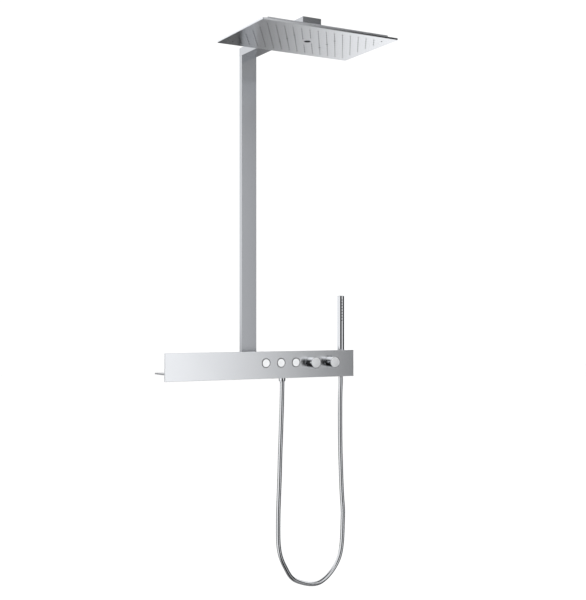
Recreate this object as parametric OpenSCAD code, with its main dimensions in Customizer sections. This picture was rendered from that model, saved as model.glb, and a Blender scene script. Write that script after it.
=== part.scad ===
// Wall shower column: control panel, riser, fixed rain head, baton hand shower on a hose.
// Frame: X right, -Y out from the wall, +Z up. The wall is the plane y = 0, the column
// stands on x = 0, and z = 0 is the height of the buttons, the knobs and the water inlets.

/* [Overall] */
// Height of the rain head's underside above the controls
head_z = 993; // [840:1:1200]
// Column front to the middle of the rain head
head_reach = 387; // [325:1:470]
// Width of the front panel
panel_w = 700; // [696:1:860]
// Height of the front panel
panel_h = 90; // [84:1:110]
// Wall to the front face of the panel
panel_out = 124; // [122:1:150]

/* [Column and arm] */
// Width of the column and the arm
column_w = 55; // [46:1:70]
// Depth of the column, out from the wall
column_d = 19; // [18:1:26]
// Wall thickness of the column profile
column_wall = 1.5; // [1.2:0.1:2]
// Height of the arm profile
arm_h = 28; // [23:1:36]
// Outside corner radius of the profiles
profile_r = 1; // [0.5:0.1:1.4]
// Height of the seam between riser and elbow
joint_z = 841; // [700:1:860]
// Radius of the water pipe inside the column
pipe_r = 5; // [4:0.1:5.2]
// Wall thickness of the water pipe
pipe_wall = 1; // [0.8:0.1:1.5]

/* [Rain head] */
// Width of the face plate
head_w = 466; // [388:1:560]
// Depth of the face plate
head_d = 300; // [250:1:360]
// Thickness of the face plate
plate_t = 6; // [5:0.5:8]
// Inset of the upper housing at the sides
housing_inset_x = 25; // [20:1:30]
// Inset of the upper housing at front and back
housing_inset_y = 17; // [14:1:20]
// Height of the upper housing
housing_h = 9.5; // [8.5:0.5:14]
// Distance between nozzles in one row
nozzle_pitch_x = 28.2; // [23.5:0.1:34]
// Distance between nozzle rows
nozzle_pitch_y = 22.4; // [18.6:0.1:27]
// Diameter of a small nozzle
nozzle_d = 4; // [3:0.1:5]
// Diameter of a large nozzle
large_nozzle_d = 8; // [6:0.1:9]
// Diameter of the centre jet
jet_d = 20; // [16:0.5:24]

/* [Panel and controls] */
// Thickness of the front panel
panel_t = 5; // [4.5:0.1:6]
// Panel top edge above the control height
panel_top = 39; // [36:1:44]
// Place of the first button
button_x = 9; // [4:0.1:14]
// Distance between buttons
button_pitch = 56.6; // [47.2:0.1:57]
// Diameter of a button
button_d = 26.6; // [22.2:0.1:28]
// How far a button goes in
button_travel = 3; // [2:0.1:4]
// Place of the flow knob
flow_x = 178; // [177:0.5:185]
// Distance from the flow knob to the temperature knob
knob_pitch = 74.5; // [62:0.5:76]
// Diameter of a knob
knob_d = 37; // [31:0.5:44]
// How far a knob stands out from the panel
knob_out = 37.5; // [31:0.5:45]

/* [Water connections] */
// Distance between the two wall inlets
inlet_spacing = 150; // [140:1:160]
// Radius of a half-inch pipe thread
half_inch_r = 10.45; // [10.4:0.01:10.48]
// Eccentric offset of a wall union
union_offset = 3; // [0:0.5:3]

/* [Hand shower and hose] */
// Diameter of the baton
baton_d = 26; // [24:0.5:30]
// Length of the baton
baton_l = 238; // [198:1:286]
// Lowest point of the baton
baton_bottom = -12; // [-14:1:-10]
// Place of the baton
baton_x = 326; // [322:1:330]
// Wall to the baton and the hose outlet
hose_out = 79; // [77:1:81]
// Place of the hose outlet
outlet_x = 94; // [90:1:98]
// Diameter of the hose
hose_d = 15.5; // [14:0.1:15.6]

/* [Clearances] */
// Radial clearance of a running fit
run_gap = 0.05; // [0.03:0.01:0.08]
// Gap around a piece seated in its place
seat_gap = 0.05; // [0.03:0.01:0.1]
// Gap around a button in its ring
button_gap = 0.3; // [0.3:0.05:0.5]
// Gap between the panel and a knob
knob_gap = 1; // [0.6:0.1:2]

/* [Hidden] */
$fn = 48;
cut = 0.5;  // how far a cutting tool runs past the face it opens

// Rain head
head_y = -(column_d + head_reach);
plate_top_z = head_z + plate_t;
housing_top_z = plate_top_z + housing_h;
housing_w = head_w - 2 * housing_inset_x;
housing_d = head_d - 2 * housing_inset_y;
housing_wall = 5;
housing_roof = 2;
neck_h = 21.5;
arm_z = housing_top_z + neck_h;
arm_top_z = arm_z + arm_h;
nozzle_tip = 1;
nozzle_collar = 1.2;
nozzle_collar_t = 1;
nozzle_flange_r = nozzle_d / 2 + nozzle_collar;
plate_corner_r = 2;
housing_corner_r = 3;
jet_tip = 0.5;
jet_rim = 1.5;
jet_recess = 3;
jet_chamber_gap = 2.6;
jet_chamber_wall = 1.5;
chamber_x = housing_w / 2 - housing_wall;
chamber_y = housing_d / 2 - housing_wall;
side_cols = floor((chamber_x - nozzle_flange_r - 0.2) / nozzle_pitch_x);
side_rows = floor((chamber_y - nozzle_flange_r - 0.2) / nozzle_pitch_y);
seal_w = 1.5;
seal_t = 0.8;
head_screw_r = 1.25;
head_screw_head_r = 2.2;
head_screw_head_t = 1.6;
head_screw_l = 6;
head_screw_gap = 0.1;
head_screw_reach = 0.35;  // where the screws stand along each side, as a share of it
head_screw_seat_z = plate_top_z + 3;
neck_flange_r = 24;
neck_flange_t = 4;
neck_r = 14;
neck_spigot_r = 10;
neck_screw_pcr = 19;
neck_socket = 8;  // how far the neck goes up into the carrier
neck_end_gap = 0.5;
carrier_side = 4.5;  // how far the carrier stands out beside the arm
carrier_lip = 1;     // and above and below it
carrier_d = 58;
carrier_back_y = head_y + carrier_d / 2;
carrier_tongue = 20;
carrier_tongue_wall = 3;
carrier_pipe_floor = 4;  // where the socket of the arm's pipe ends, in front of the carrier's back

// Column and its wall fixings
bracket_half_w = 32;
bracket_web_t = 2;
bracket_web_gap = 2;
bracket_foot_gap = 2;
sleeve_pad_inset = 3;
pipe_y = -(column_d / 2 + 1);
arm_pipe_z = arm_z + arm_h / 2;
arm_pipe_end_y = carrier_back_y - carrier_tongue + 2;
column_bottom_z = 26;
spigot_t = 2;
spigot_h = 30;
sleeve_half_h = 30;
sleeve_window_h = 12;
bend_r = 16;
coupling_t = 1.5;
coupling_half_h = 14;
wall_screw_x = 24;
joint_screw_x = 16;
wall_screw_r = 2.4;
wall_screw_neck_r = 2.1;
wall_screw_head_r = 4.5;
wall_screw_head_t = 3;
wall_screw_l = 40;
joint_screw_l = 22;  // short enough to stay hidden behind the column

// Panel, casing and base plate
panel_back_y = -(panel_out - panel_t);
panel_bottom_z = panel_top - panel_h;
sheet_t = 2;
base_t = 5;
base_top_z = -28;
base_bottom_z = base_top_z - base_t;
base_left_x = -(panel_w / 2 - 17);
base_right_x = panel_w / 2 - 4;
base_gap = 0.3;
screw_hole_gap = 0.2;
screw_head_gap = 0.3;
screw_tip_gap = 0.1;
casing_left_x = -(panel_w / 2 - 60);
casing_right_x = baton_x - 30;
casing_top_z = panel_top - 6;
casing_column_gap = 0.5;
flange_h = 13;
panel_screw_r = 2;
panel_screw_head_r = 3.6;
panel_screw_head_t = 2.4;
panel_screw_l = 5;
panel_screws_x = [casing_left_x + 20, -25, casing_right_x - 16];
panel_screw_zs = [base_top_z + panel_screw_head_r + 0.6, casing_top_z - flange_h / 2];
foot_x = [-60, 215];

// Valve body
body_y = -67;
body_r = 24;
body_bore_r = 15;
body_left_x = -110;
body_right_x = 286;
plug_l = 10;
boss_r = 17;
boss_front_y = -94;
pocket_r = 13;
pocket_back_y = -60;
inlet_boss_r = 14;
inlet_face_y = -38;
inlet_bore_r = 9;
riser_block_w = 22;
riser_block_top_z = 16;
riser_block_back_y = -2.6;
riser_block_bottom_z = -12;
socket_bottom_z = 2;
seal_r = 0.85;
riser_seal_zs = [6, 11];
outlet_boss_r = 14;
outlet_boss_z = -25.5;
outlet_boss_top_z = -10;
outlet_spigot_r = 8;
outlet_spigot_top_z = -14;
outlet_way_r = 5;
outlet_way_top_z = -8;
outlet_flange_t = 3;
outlet_flange_r = 12;
outlet_end_gap = 0.2;
outlet_hole_gap = 1;
foot_r = 8;
foot_top_z = -18;
foot_screw_depth = 6;
plug_hex_af = 12;
plug_hex_depth = 4;
washer_rim = 0.4;

// Wall unions
union_hex_af = 30;
union_hex_y = [-20, -13];
union_end_y = -35.4;
union_thread_r = 13;
union_bore_r = 7;
union_neck_r = half_inch_r - 0.45;
union_step = 2;
inlet_thread_l = 14;
union_nut_af = 36;
union_nut_y = [-42.5, -26];
rosette_r = 24;
rosette_t = 12;
rosette_lip = 1.5;
rosette_rim_h = 4;
rosette_flat = 8;
rosette_gap = 0.3;

// Buttons
button_xs = [button_x, button_x + button_pitch, button_x + 2 * button_pitch];
button_proud = 1;
button_t = 4;
stem_r = 4;
cartridge_neck_r = 11;
cartridge_neck_y = -112;
cartridge_hex_af = 30;
cartridge_hex_t = 4;
cartridge_end_gap = 1;
port_r = 3;
port_y = body_y - 5;
button_mark_r = 3;
button_mark_t = 0.4;
ring_wall = 1.8;
ring_hole_r = button_d / 2 + button_gap + ring_wall;
ring_flange_r = ring_hole_r + 2;
ring_flange_t = 2.5;
ring_sunk = 0.6;
button_back_y = -(panel_out + button_proud) + button_t;
stem_end_y = -88;
spring_wire_r = 0.6;
spring_r = 7;
spring_turns = 4;
spring_end_gap = 0.1;

// Knobs
temperature_x = flow_x + knob_pitch;
knob_r = knob_d / 2;
knob_front_y = -(panel_out + knob_out);
knob_back_y = -(panel_out + knob_gap);
knob_wall = 2.7;
knob_front_t = 6.5;
knob_boss_r = 7;
cap_t = 1.2;
cap_r = knob_r - 1.6;
cap_sunk = 0.02;
spindle_r = 4;
spindle_back_y = -90;
spindle_front_y = knob_front_y + 4.5;
spindle_end_gap = 1;
neck_hole_r = 10;
knob_neck_r = 9;
knob_neck_y = -(panel_out - 2);
stop_ring_y = [-(panel_out + 5), -(panel_out + 2)];
stop_ring_r = 12;
knob_boss_y = -(panel_out + 7);
safety_y = -(panel_out + 13);
safety_r = 3.5;
safety_proud = 1.5;
safety_tail = knob_r - knob_wall - 4.3;
safety_flange_r = 4.7;
safety_flange_gap = 2.6;  // leaves room for its travel under the knob's wall
safety_spring_turns = 3;
safety_spring_wire_r = 0.35;
safety_spring_r = 2.2;

// Hand shower
baton_r = baton_d / 2;
baton_wall = 2;
baton_y = -hose_out;
baton_top_z = baton_bottom + baton_l;
baton_cap_t = 4;
baton_plug_l = 9;
baton_nozzle_rows = 8;
baton_nozzle_x = 2.4;  // each row is a pair, this far to either side
baton_nozzle_pitch = 10;
baton_nozzle_drop = 15;
baton_nozzle_r = 1.3;
baton_nozzle_proud = 0.5;
baton_nozzle_tail = 2.5;
insert_gap = 0.2;
insert_wall = 2.5;
insert_roof = 3;
thread_gap = 0.3;
thread_room = 0.25;
connector_bore_r = 6;
connector_flange_t = 3;
connector_plug_l = 14;
connector_thread_l = 12;
washer_t = 2;
nut_top_z = baton_bottom - 0.5;
nut_bottom_z = nut_top_z - 39.5;
nut_top_r = 12.3;
nut_bottom_r = 10;
nut_slope = (nut_top_r - nut_bottom_r) / (nut_top_z - nut_bottom_z);
ferrule_r = 8;
ferrule_flange_r = 9.8;
ferrule_flange_t = 2;
ferrule_bore_r = 5;
ferrule_top_z = baton_bottom - connector_thread_l - washer_t;

// Holder in the base plate
holder_r = 15;
holder_flange_r = 19;
holder_z = [-46, base_top_z + 3];
holder_slot = 18;
holder_slot_y = [baton_y - holder_slot / 2, baton_y + holder_slot / 2];
holder_gap = 0.3;

// Hose outlet
outlet_thread_bottom_z = -44;
outlet_nut_z = [-64, -37];
outlet_nut_r = 11.8;

// Curve of the hose's centreline between its two ends, [x, z], in the plane y = -hose_out.
// It is drawn for the two places below, and each side moves with the end that it hangs from.
drawn_outlet_x = 94;
drawn_baton_x = 326;
hose_curve = [
    [94, -85], [91, -190], [86, -320], [84, -390], [79, -525], [82, -626], [105, -690], [147, -741],
    [242, -759], [319, -682], [335, -547], [330, -442], [325, -303], [324, -150], [326, -75]
];
hose_route = concat(
    [[outlet_x, outlet_nut_z[0]]],
    [for (p = hose_curve) [p[0] + hose_shift(p[0]), p[1]]],
    [[baton_x, nut_bottom_z]]
);
hose_steps = 3;
hose_sides = 10;

// ---------- shared shapes ----------

module box(x, y, z) {
    translate([x[0], y[0], z[0]]) cube([x[1] - x[0], y[1] - y[0], z[1] - z[0]]);
}

module rod_x(y, z, x, r) {
    translate([x[0], y, z]) rotate([0, 90, 0]) cylinder(r = r, h = x[1] - x[0]);
}

module rod_y(x, z, y, r) {
    translate([x, y[1], z]) rotate([90, 0, 0]) cylinder(r = r, h = y[1] - y[0]);
}

module rod_z(x, y, z, r) {
    translate([x, y, z[0]]) cylinder(r = r, h = z[1] - z[0]);
}

// Cutting tools that run past both faces of what they go through
module hole_y(x, z, y, r) {
    rod_y(x, z, [y[0] - cut, y[1] + cut], r);
}

module hole_z(x, y, z, r) {
    rod_z(x, y, [z[0] - cut, z[1] + cut], r);
}

module hex_y(x, z, y, flats) {
    translate([x, y[1], z]) rotate([90, 0, 0]) cylinder(d = flats / cos(30), h = y[1] - y[0], $fn = 6);
}

// Rectangle centred on the origin with round corners
module round_rect(w, h, r) {
    square([w - 2 * r, h], center = true);
    square([w, h - 2 * r], center = true);
    for (sx = [-1, 1], sy = [-1, 1]) {
        translate([sx * (w / 2 - r), sy * (h / 2 - r)]) circle(r = r);
    }
}

// Helical spring along +Z
module spring(wire_r, coil_r, turns, length) {
    steps = 16;
    sides = 6;
    n = turns * steps;
    rise = length - 2 * wire_r;
    pts = [
        for (i = [0:n], k = [0:sides - 1])
            let (a = 360 * i / steps, b = 360 * k / sides, r = coil_r + wire_r * cos(b))
            [r * cos(a), r * sin(a), wire_r + rise * i / n + wire_r * sin(b)]
    ];
    polyhedron(points = pts, faces = tube_faces(n, sides), convexity = 8);
}

function tube_faces(n, sides) = concat(
    [[for (k = [0:sides - 1]) k]],
    [for (i = [0:n - 1], k = [0:sides - 1])
        [i * sides + (k + 1) % sides, i * sides + k,
         (i + 1) * sides + k, (i + 1) * sides + (k + 1) % sides]],
    [[for (k = [0:sides - 1]) n * sides + sides - 1 - k]]
);

// ---------- wall fixings and inlets ----------

function inlet_xs() = [-inlet_spacing / 2, inlet_spacing / 2];

module wall_bracket() {
    half = column_w / 2 - column_wall - seat_gap;
    inner_y = [-(column_d - column_wall - seat_gap), -(column_wall + seat_gap)];
    web_z = [column_bottom_z - bracket_web_gap - bracket_web_t, column_bottom_z - bracket_web_gap];
    tongue_z = [web_z[1] - cut, column_bottom_z + spigot_h];
    color("silver") difference() {
        union() {
            box([-bracket_half_w, bracket_half_w], [-sheet_t, 0],
                [base_top_z + bracket_foot_gap, web_z[1]]);
            box([-half, half], [inner_y[0], 0], web_z);
            box([-half, half], [inner_y[1] - spigot_t, inner_y[1]], tongue_z);
            for (s = [-1, 1]) {
                box(s > 0 ? [half - spigot_t, half] : [-half, spigot_t - half], inner_y, tongue_z);
            }
        }
        hole_z(0, pipe_y, web_z, pipe_r + screw_hole_gap);
        for (s = [-1, 1]) {
            hole_y(s * wall_screw_x, 0, [-sheet_t, 0], wall_screw_r + screw_hole_gap);
        }
    }
}

module joint_sleeve() {
    half = column_w / 2 - column_wall - seat_gap;
    inner_y = [-(column_d - column_wall - seat_gap), -(column_wall + seat_gap)];
    z = [joint_z - sleeve_half_h, joint_z + sleeve_half_h];
    pad_z = [joint_z - sleeve_window_h + seat_gap, joint_z + sleeve_window_h - seat_gap];
    color("silver") difference() {
        union() {
            box([-half, half], [inner_y[1] - spigot_t, inner_y[1]], z);
            for (s = [-1, 1]) {
                box(s > 0 ? [half - spigot_t, half] : [-half, spigot_t - half], inner_y, z);
            }
            box([-half + sleeve_pad_inset, half - sleeve_pad_inset], [inner_y[1] - cut, 0], pad_z);
        }
        for (s = [-1, 1]) {
            hole_y(s * joint_screw_x, joint_z, [inner_y[1] - spigot_t, 0], wall_screw_r + screw_hole_gap);
        }
    }
}

module wall_screw(x, z, seat_y, l) {
    rod_y(x, z, [seat_y - wall_screw_head_t, seat_y], wall_screw_head_r);
    rod_y(x, z, [seat_y - cut, cut], wall_screw_neck_r);
    rod_y(x, z, [0, seat_y + l], wall_screw_r);
}

module wall_screws() {
    color("gainsboro") for (s = [-1, 1]) {
        wall_screw(s * wall_screw_x, 0, -sheet_t, wall_screw_l);
        wall_screw(s * joint_screw_x, joint_z, -(column_wall + seat_gap + spigot_t), joint_screw_l);
    }
}

module wall_unions() {
    color("khaki") for (x = inlet_xs()) {
        difference() {
            union() {
                rod_y(x, -union_offset, [union_hex_y[1] - cut, cut], union_neck_r);
                rod_y(x, -union_offset, [0, inlet_thread_l], half_inch_r);
                hex_y(x, -union_offset / 2, union_hex_y, union_hex_af);
                rod_y(x, 0, [union_end_y, union_hex_y[0] + cut], union_thread_r);
            }
            rod_y(x, -union_offset, [union_hex_y[0], inlet_thread_l + cut], union_bore_r);
            rod_y(x, 0, [union_end_y - cut, union_hex_y[1] - union_step], union_bore_r);
        }
    }
}

module rosettes() {
    bore = half_inch_r + rosette_gap;
    flat_r = rosette_r - rosette_flat;
    inner_t = rosette_t - rosette_lip;
    inner_r = rosette_r - rosette_lip;
    color("silver") for (x = inlet_xs()) {
        translate([x, 0, -union_offset]) rotate([90, 0, 0]) rotate_extrude() {
            polygon([
                [bore, rosette_t], [flat_r, rosette_t], [rosette_r, rosette_rim_h],
                [rosette_r, base_gap], [inner_r, base_gap], [inner_r, rosette_rim_h - rosette_lip / 2],
                [flat_r - rosette_lip / 3, inner_t], [bore, inner_t]
            ]);
        }
    }
}

module union_nuts() {
    color("silver") for (x = inlet_xs()) {
        difference() {
            hex_y(x, 0, union_nut_y, union_nut_af);
            rod_y(x, 0, [union_nut_y[0] - cut, inlet_face_y], inlet_boss_r + seat_gap);
            hole_y(x, 0, [inlet_face_y, union_nut_y[1]], union_thread_r + seat_gap);
        }
    }
}

// ---------- valve ----------

module valve_body() {
    bore_x = [body_left_x + plug_l, body_right_x - plug_l];
    color("tan") difference() {
        union() {
            rod_x(body_y, 0, [body_left_x, body_right_x], body_r);
            for (x = concat(button_xs, [flow_x, temperature_x])) {
                rod_y(x, 0, [boss_front_y, body_y], boss_r);
            }
            for (x = inlet_xs()) {
                rod_y(x, 0, [body_y, inlet_face_y], inlet_boss_r);
            }
            box([-riser_block_w / 2, riser_block_w / 2], [body_y, riser_block_back_y],
                [riser_block_bottom_z, riser_block_top_z]);
            rod_z(outlet_x, -hose_out, [outlet_boss_z, outlet_boss_top_z], outlet_boss_r);
            for (x = foot_x) {
                rod_z(x, body_y, [base_top_z, foot_top_z], foot_r);
            }
        }
        rod_x(body_y, 0, [body_left_x - cut, body_right_x + cut], body_bore_r);
        for (x = concat(button_xs, [flow_x, temperature_x])) {
            rod_y(x, 0, [boss_front_y - cut, pocket_back_y], pocket_r + seat_gap);
        }
        for (x = inlet_xs()) {
            rod_y(x, 0, [body_y, inlet_face_y + cut], inlet_bore_r);
        }
        rod_y(0, 0, [body_y, pipe_y], pipe_r - pipe_wall);
        rod_z(0, pipe_y, [-pipe_r + pipe_wall, socket_bottom_z + cut], pipe_r - pipe_wall);
        rod_z(0, pipe_y, [socket_bottom_z, riser_block_top_z + cut], pipe_r + seat_gap);
        for (z = riser_seal_zs) {
            riser_groove(z);
        }
        rod_z(outlet_x, -hose_out, [outlet_boss_z - cut, outlet_spigot_top_z], outlet_spigot_r + seat_gap);
        rod_z(outlet_x, -hose_out, [outlet_spigot_top_z - cut, outlet_way_top_z], outlet_way_r);
        for (x = foot_x) {
            rod_z(x, body_y, [base_top_z - cut, base_top_z + foot_screw_depth], panel_screw_r + seat_gap);
        }
    }
}

module riser_groove(z) {
    rod_z(0, pipe_y, [z - seal_r - seat_gap, z + seal_r + seat_gap], pipe_r + 2 * seal_r + 2 * seat_gap);
}

// Two rings round the riser pipe and two filter washers in the inlets
module valve_seals() {
    color("black") for (z = riser_seal_zs) {
        translate([0, pipe_y, z]) rotate_extrude() {
            translate([pipe_r + seat_gap + seal_r, 0]) circle(r = seal_r);
        }
    }
    color("dimgray") for (x = inlet_xs()) {
        difference() {
            rod_y(x, 0, [inlet_face_y, union_end_y], union_thread_r - washer_rim);
            hole_y(x, 0, [inlet_face_y, union_end_y], union_bore_r);
        }
    }
}

module body_plugs() {
    color("tan") for (s = [-1, 1]) {
        end_x = s > 0 ? body_right_x : body_left_x;
        x = s > 0 ? [end_x - plug_l, end_x] : [end_x, end_x + plug_l];
        difference() {
            rod_x(body_y, 0, x, body_bore_r - seat_gap);
            translate([end_x - s * plug_hex_depth, body_y, 0]) rotate([0, s * 90, 0]) {
                cylinder(d = plug_hex_af / cos(30), h = plug_hex_depth + cut, $fn = 6);
            }
        }
    }
}

module cartridge_shell(x, neck_r, neck_y) {
    hex_front_y = boss_front_y - cartridge_hex_t;
    rod_y(x, 0, [boss_front_y - cut, pocket_back_y - cartridge_end_gap], pocket_r);
    hex_y(x, 0, [hex_front_y, boss_front_y], cartridge_hex_af);
    rod_y(x, 0, [neck_y, hex_front_y + cut], neck_r);
}

module push_cartridge(i) {
    x = button_xs[i];
    color("dimgray") difference() {
        cartridge_shell(x, cartridge_neck_r, cartridge_neck_y);
        rod_y(x, 0, [cartridge_neck_y - cut, stem_end_y + button_travel + spindle_end_gap], stem_r + run_gap);
        side_ports(x);
    }
}

// Four water ports across a cartridge, behind its guide bore
module side_ports(x) {
    reach = pocket_r + cut;
    rod_x(port_y, 0, [x - reach, x + reach], port_r);
    rod_z(x, port_y, [-reach, reach], port_r);
}

module knob_cartridge(x, neck_y) {
    difference() {
        cartridge_shell(x, knob_neck_r, neck_y);
        rod_y(x, 0, [neck_y - cut, spindle_back_y + spindle_end_gap], spindle_r + run_gap);
        side_ports(x);
    }
}

module flow_cartridge() {
    color("darkgray") knob_cartridge(flow_x, knob_neck_y);
}

module temperature_cartridge() {
    color("darkgray") knob_cartridge(temperature_x, stop_ring_y[0]);
}

// ---------- buttons ----------

module button(i) {
    x = button_xs[i];
    front_y = button_back_y - button_t;
    color("whitesmoke") {
        difference() {
            rod_y(x, 0, [front_y, button_back_y], button_d / 2);
            rod_y(x, 0, [front_y - cut, front_y + button_mark_t], button_mark_r);
        }
        rod_y(x, 0, [button_back_y - cut, stem_end_y], stem_r);
    }
}

module button_rings() {
    bore = button_d / 2 + button_gap;
    color("black") for (x = button_xs) {
        difference() {
            union() {
                rod_y(x, 0, [-(panel_out - ring_sunk), panel_back_y + cut], ring_hole_r - seat_gap);
                rod_y(x, 0, [panel_back_y, panel_back_y + ring_flange_t], ring_flange_r);
            }
            rod_y(x, 0, [-panel_out, panel_back_y + ring_flange_t + cut], bore);
        }
    }
}

module button_springs() {
    length = cartridge_neck_y - button_back_y - 2 * spring_end_gap;
    color("gainsboro") for (x = button_xs) {
        translate([x, cartridge_neck_y - spring_end_gap, 0]) rotate([90, 0, 0]) {
            spring(spring_wire_r, spring_r, spring_turns, length);
        }
    }
}

// ---------- knobs ----------

module knob(x, boss_y) {
    difference() {
        rod_y(x, 0, [knob_front_y, knob_back_y], knob_r);
        difference() {
            rod_y(x, 0, [knob_front_y + knob_front_t, knob_back_y + cut], knob_r - knob_wall);
            rod_y(x, 0, [knob_front_y, boss_y], knob_boss_r);
        }
        rod_y(x, 0, [spindle_front_y - seat_gap, knob_back_y], spindle_r + seat_gap);
        rod_y(x, 0, [knob_front_y - cut, knob_front_y + cap_t], cap_r + seat_gap);
    }
}

module knob_cap(x) {
    rod_y(x, 0, [knob_front_y, knob_front_y + cap_t - cap_sunk], cap_r);
}

module spindle(x) {
    rod_y(x, 0, [spindle_front_y, spindle_back_y], spindle_r);
}

module flow_knob() {
    color("silver") knob(flow_x, knob_boss_y);
}

module flow_knob_cap() {
    color("gainsboro") knob_cap(flow_x);
}

module flow_spindle() {
    color("tan") spindle(flow_x);
}

module temperature_knob() {
    color("silver") difference() {
        knob(temperature_x, knob_boss_y);
        rod_z(temperature_x, safety_y, [knob_r - knob_wall - cut, knob_r + cut], safety_r + button_gap);
    }
}

module temperature_knob_cap() {
    color("gainsboro") knob_cap(temperature_x);
}

module temperature_spindle() {
    color("tan") spindle(temperature_x);
}

module temperature_stop_ring() {
    color("ivory") difference() {
        rod_y(temperature_x, 0, stop_ring_y, stop_ring_r);
        hole_y(temperature_x, 0, stop_ring_y, knob_neck_r + seat_gap);
    }
}

module safety_button() {
    inner = knob_r - knob_wall;
    color("dimgray") {
        rod_z(temperature_x, safety_y, [safety_tail, knob_r + safety_proud], safety_r);
        rod_z(temperature_x, safety_y, [safety_tail, inner - safety_flange_gap], safety_flange_r);
    }
}

module safety_spring() {
    length = safety_tail - knob_boss_r - 2 * spring_end_gap;
    color("gainsboro") translate([temperature_x, safety_y, knob_boss_r + spring_end_gap]) {
        spring(safety_spring_wire_r, safety_spring_r, safety_spring_turns, length);
    }
}

// ---------- panel, casing and base plate ----------

module front_panel() {
    color("lightgray") difference() {
        box([-panel_w / 2, panel_w / 2], [-panel_out, panel_back_y], [panel_bottom_z, panel_top]);
        for (x = button_xs) {
            hole_y(x, 0, [-panel_out, panel_back_y], ring_hole_r);
        }
        for (x = [flow_x, temperature_x]) {
            hole_y(x, 0, [-panel_out, panel_back_y], neck_hole_r);
        }
        for (x = panel_screws_x, z = panel_screw_zs) {
            tip_y = panel_back_y + sheet_t - panel_screw_l - screw_tip_gap;
            rod_y(x, z, [tip_y, panel_back_y + cut], panel_screw_r + seat_gap);
        }
    }
}

module panel_screw() {
    cylinder(r = panel_screw_head_r, h = panel_screw_head_t);
    translate([0, 0, -panel_screw_l]) cylinder(r = panel_screw_r, h = panel_screw_l + cut);
}

module panel_screws() {
    color("gainsboro") {
        for (x = panel_screws_x, z = panel_screw_zs) {
            translate([x, panel_back_y + sheet_t, z]) rotate([-90, 0, 0]) panel_screw();
        }
        for (x = foot_x) {
            translate([x, body_y, base_top_z - panel_screw_head_t]) rotate([180, 0, 0]) panel_screw();
        }
    }
}

module base_plate() {
    flange_y = [panel_back_y, panel_back_y + sheet_t];
    z = [base_bottom_z, base_top_z];
    cut_z = [z[0] - cut, z[1] + cut];
    color("gray") difference() {
        union() {
            box([base_left_x, base_right_x], [panel_back_y, -base_gap], z);
            box([casing_left_x, casing_right_x], flange_y, [base_bottom_z, base_bottom_z + flange_h]);
        }
        hole_z(outlet_x, -hose_out, z, outlet_boss_r + outlet_hole_gap);
        hole_z(baton_x, baton_y, z, holder_r + seat_gap);
        box([baton_x, base_right_x + cut], holder_slot_y, cut_z);
        for (x = foot_x) {
            hole_z(x, body_y, z, panel_screw_r + screw_hole_gap);
            rod_z(x, body_y, [cut_z[0], base_top_z - panel_screw_head_t],
                panel_screw_head_r + screw_head_gap);
        }
        for (x = panel_screws_x) {
            hole_y(x, panel_screw_zs[0], flange_y, panel_screw_r + screw_hole_gap);
        }
    }
}

module rear_casing() {
    y = [panel_back_y, -base_gap];
    flange_y = [panel_back_y, panel_back_y + sheet_t];
    notch_z = [base_top_z - cut, base_bottom_z + flange_h];
    column_half = column_w / 2 + casing_column_gap;
    color("dimgray") difference() {
        union() {
            box([casing_left_x, casing_right_x], y, [casing_top_z - sheet_t, casing_top_z]);
            box([casing_left_x, casing_right_x], flange_y, [casing_top_z - flange_h, casing_top_z]);
            for (x = [casing_left_x, casing_right_x - sheet_t]) {
                box([x, x + sheet_t], y, [base_top_z, casing_top_z]);
            }
        }
        box([-column_half, column_half], [-column_d - casing_column_gap, 0],
            [casing_top_z - sheet_t - cut, casing_top_z + cut]);
        for (x = [casing_left_x, casing_right_x - sheet_t]) {
            box([x - cut, x + sheet_t + cut], [y[0] - cut, flange_y[1]], notch_z);
        }
        for (x = panel_screws_x) {
            hole_y(x, panel_screw_zs[1], flange_y, panel_screw_r + screw_hole_gap);
        }
    }
}

// ---------- column and arm ----------

module column_section(w, d, r) {
    translate([0, -column_d / 2]) round_rect(w, d, r);
}

module joint_window() {
    half = column_w / 2 - column_wall - sleeve_pad_inset;
    z = [joint_z - sleeve_window_h, joint_z + sleeve_window_h];
    box([-half, half], [-column_wall - cut, cut], z);
}

module riser_tube() {
    color("silver") difference() {
        translate([0, 0, column_bottom_z]) linear_extrude(joint_z - column_bottom_z) difference() {
            column_section(column_w, column_d, profile_r);
            translate([0, -column_d / 2]) {
                square([column_w - 2 * column_wall, column_d - 2 * column_wall], center = true);
            }
        }
        joint_window();
    }
}

module arm_elbow() {
    half = column_w / 2 - column_wall;
    arm_y = [carrier_back_y, 0];
    color("silver") difference() {
        union() {
            translate([0, 0, joint_z]) linear_extrude(arm_top_z - profile_r - joint_z) {
                column_section(column_w, column_d, profile_r);
            }
            translate([0, arm_y[1], (arm_z + arm_top_z) / 2]) rotate([90, 0, 0]) {
                linear_extrude(arm_y[1] - arm_y[0]) round_rect(column_w, arm_h, profile_r);
            }
        }
        box([-half, half], [-(column_d - column_wall), -column_wall],
            [joint_z - cut, arm_top_z - column_wall]);
        box([-half, half], [arm_y[0] - cut, -column_wall], [arm_z + column_wall, arm_top_z - column_wall]);
        joint_window();
    }
}

module riser_pipe() {
    z = [socket_bottom_z, joint_z - seat_gap];
    color("peru") difference() {
        rod_z(0, pipe_y, z, pipe_r);
        hole_z(0, pipe_y, z, pipe_r - pipe_wall);
    }
}

module pipe_coupling() {
    z = [joint_z - coupling_half_h, joint_z + coupling_half_h];
    color("tan") difference() {
        rod_z(0, pipe_y, z, pipe_r + coupling_t);
        hole_z(0, pipe_y, z, pipe_r + seat_gap);
    }
}

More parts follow.
